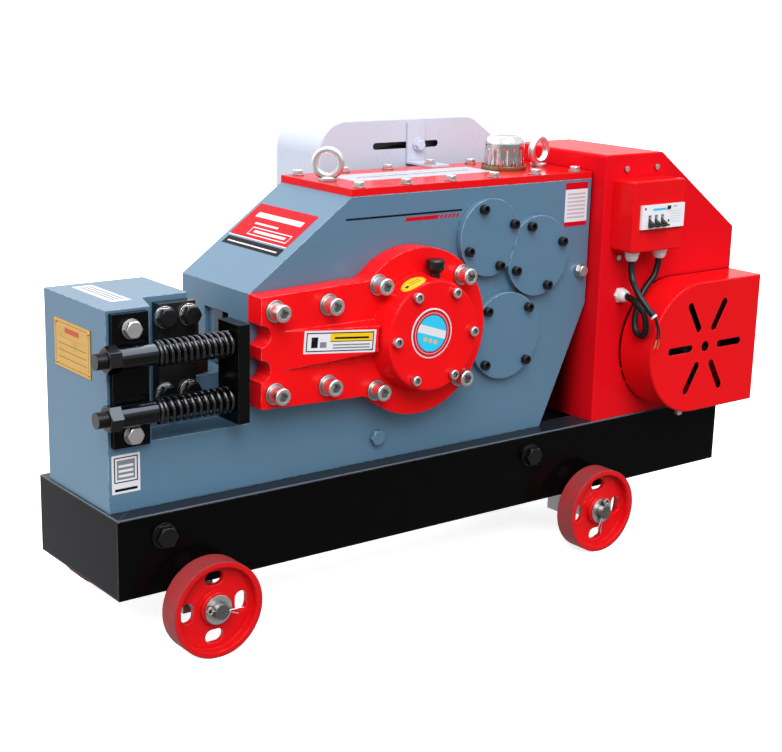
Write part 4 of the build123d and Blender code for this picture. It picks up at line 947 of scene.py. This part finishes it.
def drum_bolt():
    """Small bolt under the front of the fan drum: a hexagonal head with a stub of its shank."""
    low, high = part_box("motor_guard")
    seat = (high[0] - 0.1865, low[1] + 0.0145, low[2] + 0.0033)
    head_radius = 0.0072
    head_height = 0.0084
    stub_length = 0.0030
    deselect()
    bpy.ops.mesh.primitive_circle_add(vertices=6, radius=head_radius, fill_type="NGON", location=seat)
    bolt = start("drum_bolt")
    push(0, 0, -head_height)
    bpy.ops.mesh.inset(thickness=0.0014, depth=0.0007)
    bpy.ops.mesh.inset(thickness=0.0018, depth=0)
    push(0, 0, -stub_length)
    close(bolt)
    fit(bolt, "frame", finishes["zinc"], 30)


drum_bolt()


# Camera and light
def place_camera():
    """Camera at the photograph's viewing angle."""
    azimuth, elevation, roll = radians(-37.67), radians(14.47), radians(1.43)
    back = Vector((sin(azimuth) * cos(elevation), -cos(azimuth) * cos(elevation), sin(elevation)))
    level = Vector(top).cross(back).normalized()
    rise = back.cross(level)
    across = cos(roll) * level + sin(roll) * rise
    up = cos(roll) * rise - sin(roll) * level
    data = bpy.data.cameras.new("camera")
    data.lens = 70.48
    data.sensor_width = 36
    data.sensor_fit = "HORIZONTAL"
    data.clip_end = 400
    camera = bpy.data.objects.new("camera", data)
    camera.matrix_world = Matrix((across, up, back)).transposed().to_4x4()
    camera.location = (-1.6128, -2.0631, 0.9940)
    bpy.context.scene.collection.objects.link(camera)
    bpy.context.scene.camera = camera


def sky():
    """Bright sky above and behind that is dim near the floor, and white where the camera sees it."""
    world = bpy.data.worlds.new("studio")
    world.use_nodes = True
    bpy.context.scene.world = world
    n = Nodes(world.node_tree)
    x, y, z = n.parts(n.node("TexCoord", {}))
    above = n.span(z, -0.05, 0.30)
    behind = n.span(0.85 * y - 0.5 * x, -0.1, 0.8)
    light = 0.28 + above * 0.78 + behind * 0.62
    seen = n.node("LightPath", {})
    seen_strength = 1.05
    background = world.node_tree.nodes["Background"]
    n.plug(background.inputs["Color"], (0.98, 0.99, 1.02))
    n.plug(background.inputs["Strength"], light + seen * (seen_strength - light))


def hang(name, kind, energy):
    """A new lamp of a kind, still at the origin."""
    data = bpy.data.lights.new(name, kind)
    data.energy = energy
    lamp = bpy.data.objects.new(name, data)
    bpy.context.scene.collection.objects.link(lamp)
    return lamp


def lamps():
    """A wide soft lamp from the left front, and a cool strip overhead that shows on glossy tubes only."""
    overhead = hang("overhead", "SUN", 2.7)
    overhead.data.angle = radians(40)
    overhead.rotation_euler = Vector((0.35, 0.60, -0.75)).to_track_quat("-Z", "Y").to_euler()
    strip = hang("strip", "AREA", 84)
    strip.data.shape = "RECTANGLE"
    strip.data.size = 0.8
    strip.data.size_y = 4.6
    strip.data.color = (0.78, 0.90, 1.10)
    strip.location = (0.76, -0.7, 2.7)
    strip.rotation_euler = (0, radians(28), 0)
    strip.visible_diffuse = False


def white_floor():
    """White floor that takes a faint shadow and lights nothing."""
    deselect()
    bpy.ops.mesh.primitive_plane_add(size=120, location=(0, 0, 0))
    floor = bpy.context.object
    floor.name = "floor"
    f = Finish("floor_pale", Roughness=0.8, Emission_Color=(1, 1, 1), Emission_Strength=0.72)
    f.set(Base_Color=f.mix(f.noise(3, 2), (0.88, 0.88, 0.88), (0.92, 0.92, 0.92)))
    floor.data.materials.append(f.material)
    floor.visible_glossy = False
    floor.visible_diffuse = False
    deselect()


place_camera()
sky()
lamps()
white_floor()
bpy.context.scene.view_settings.view_transform = "Standard"
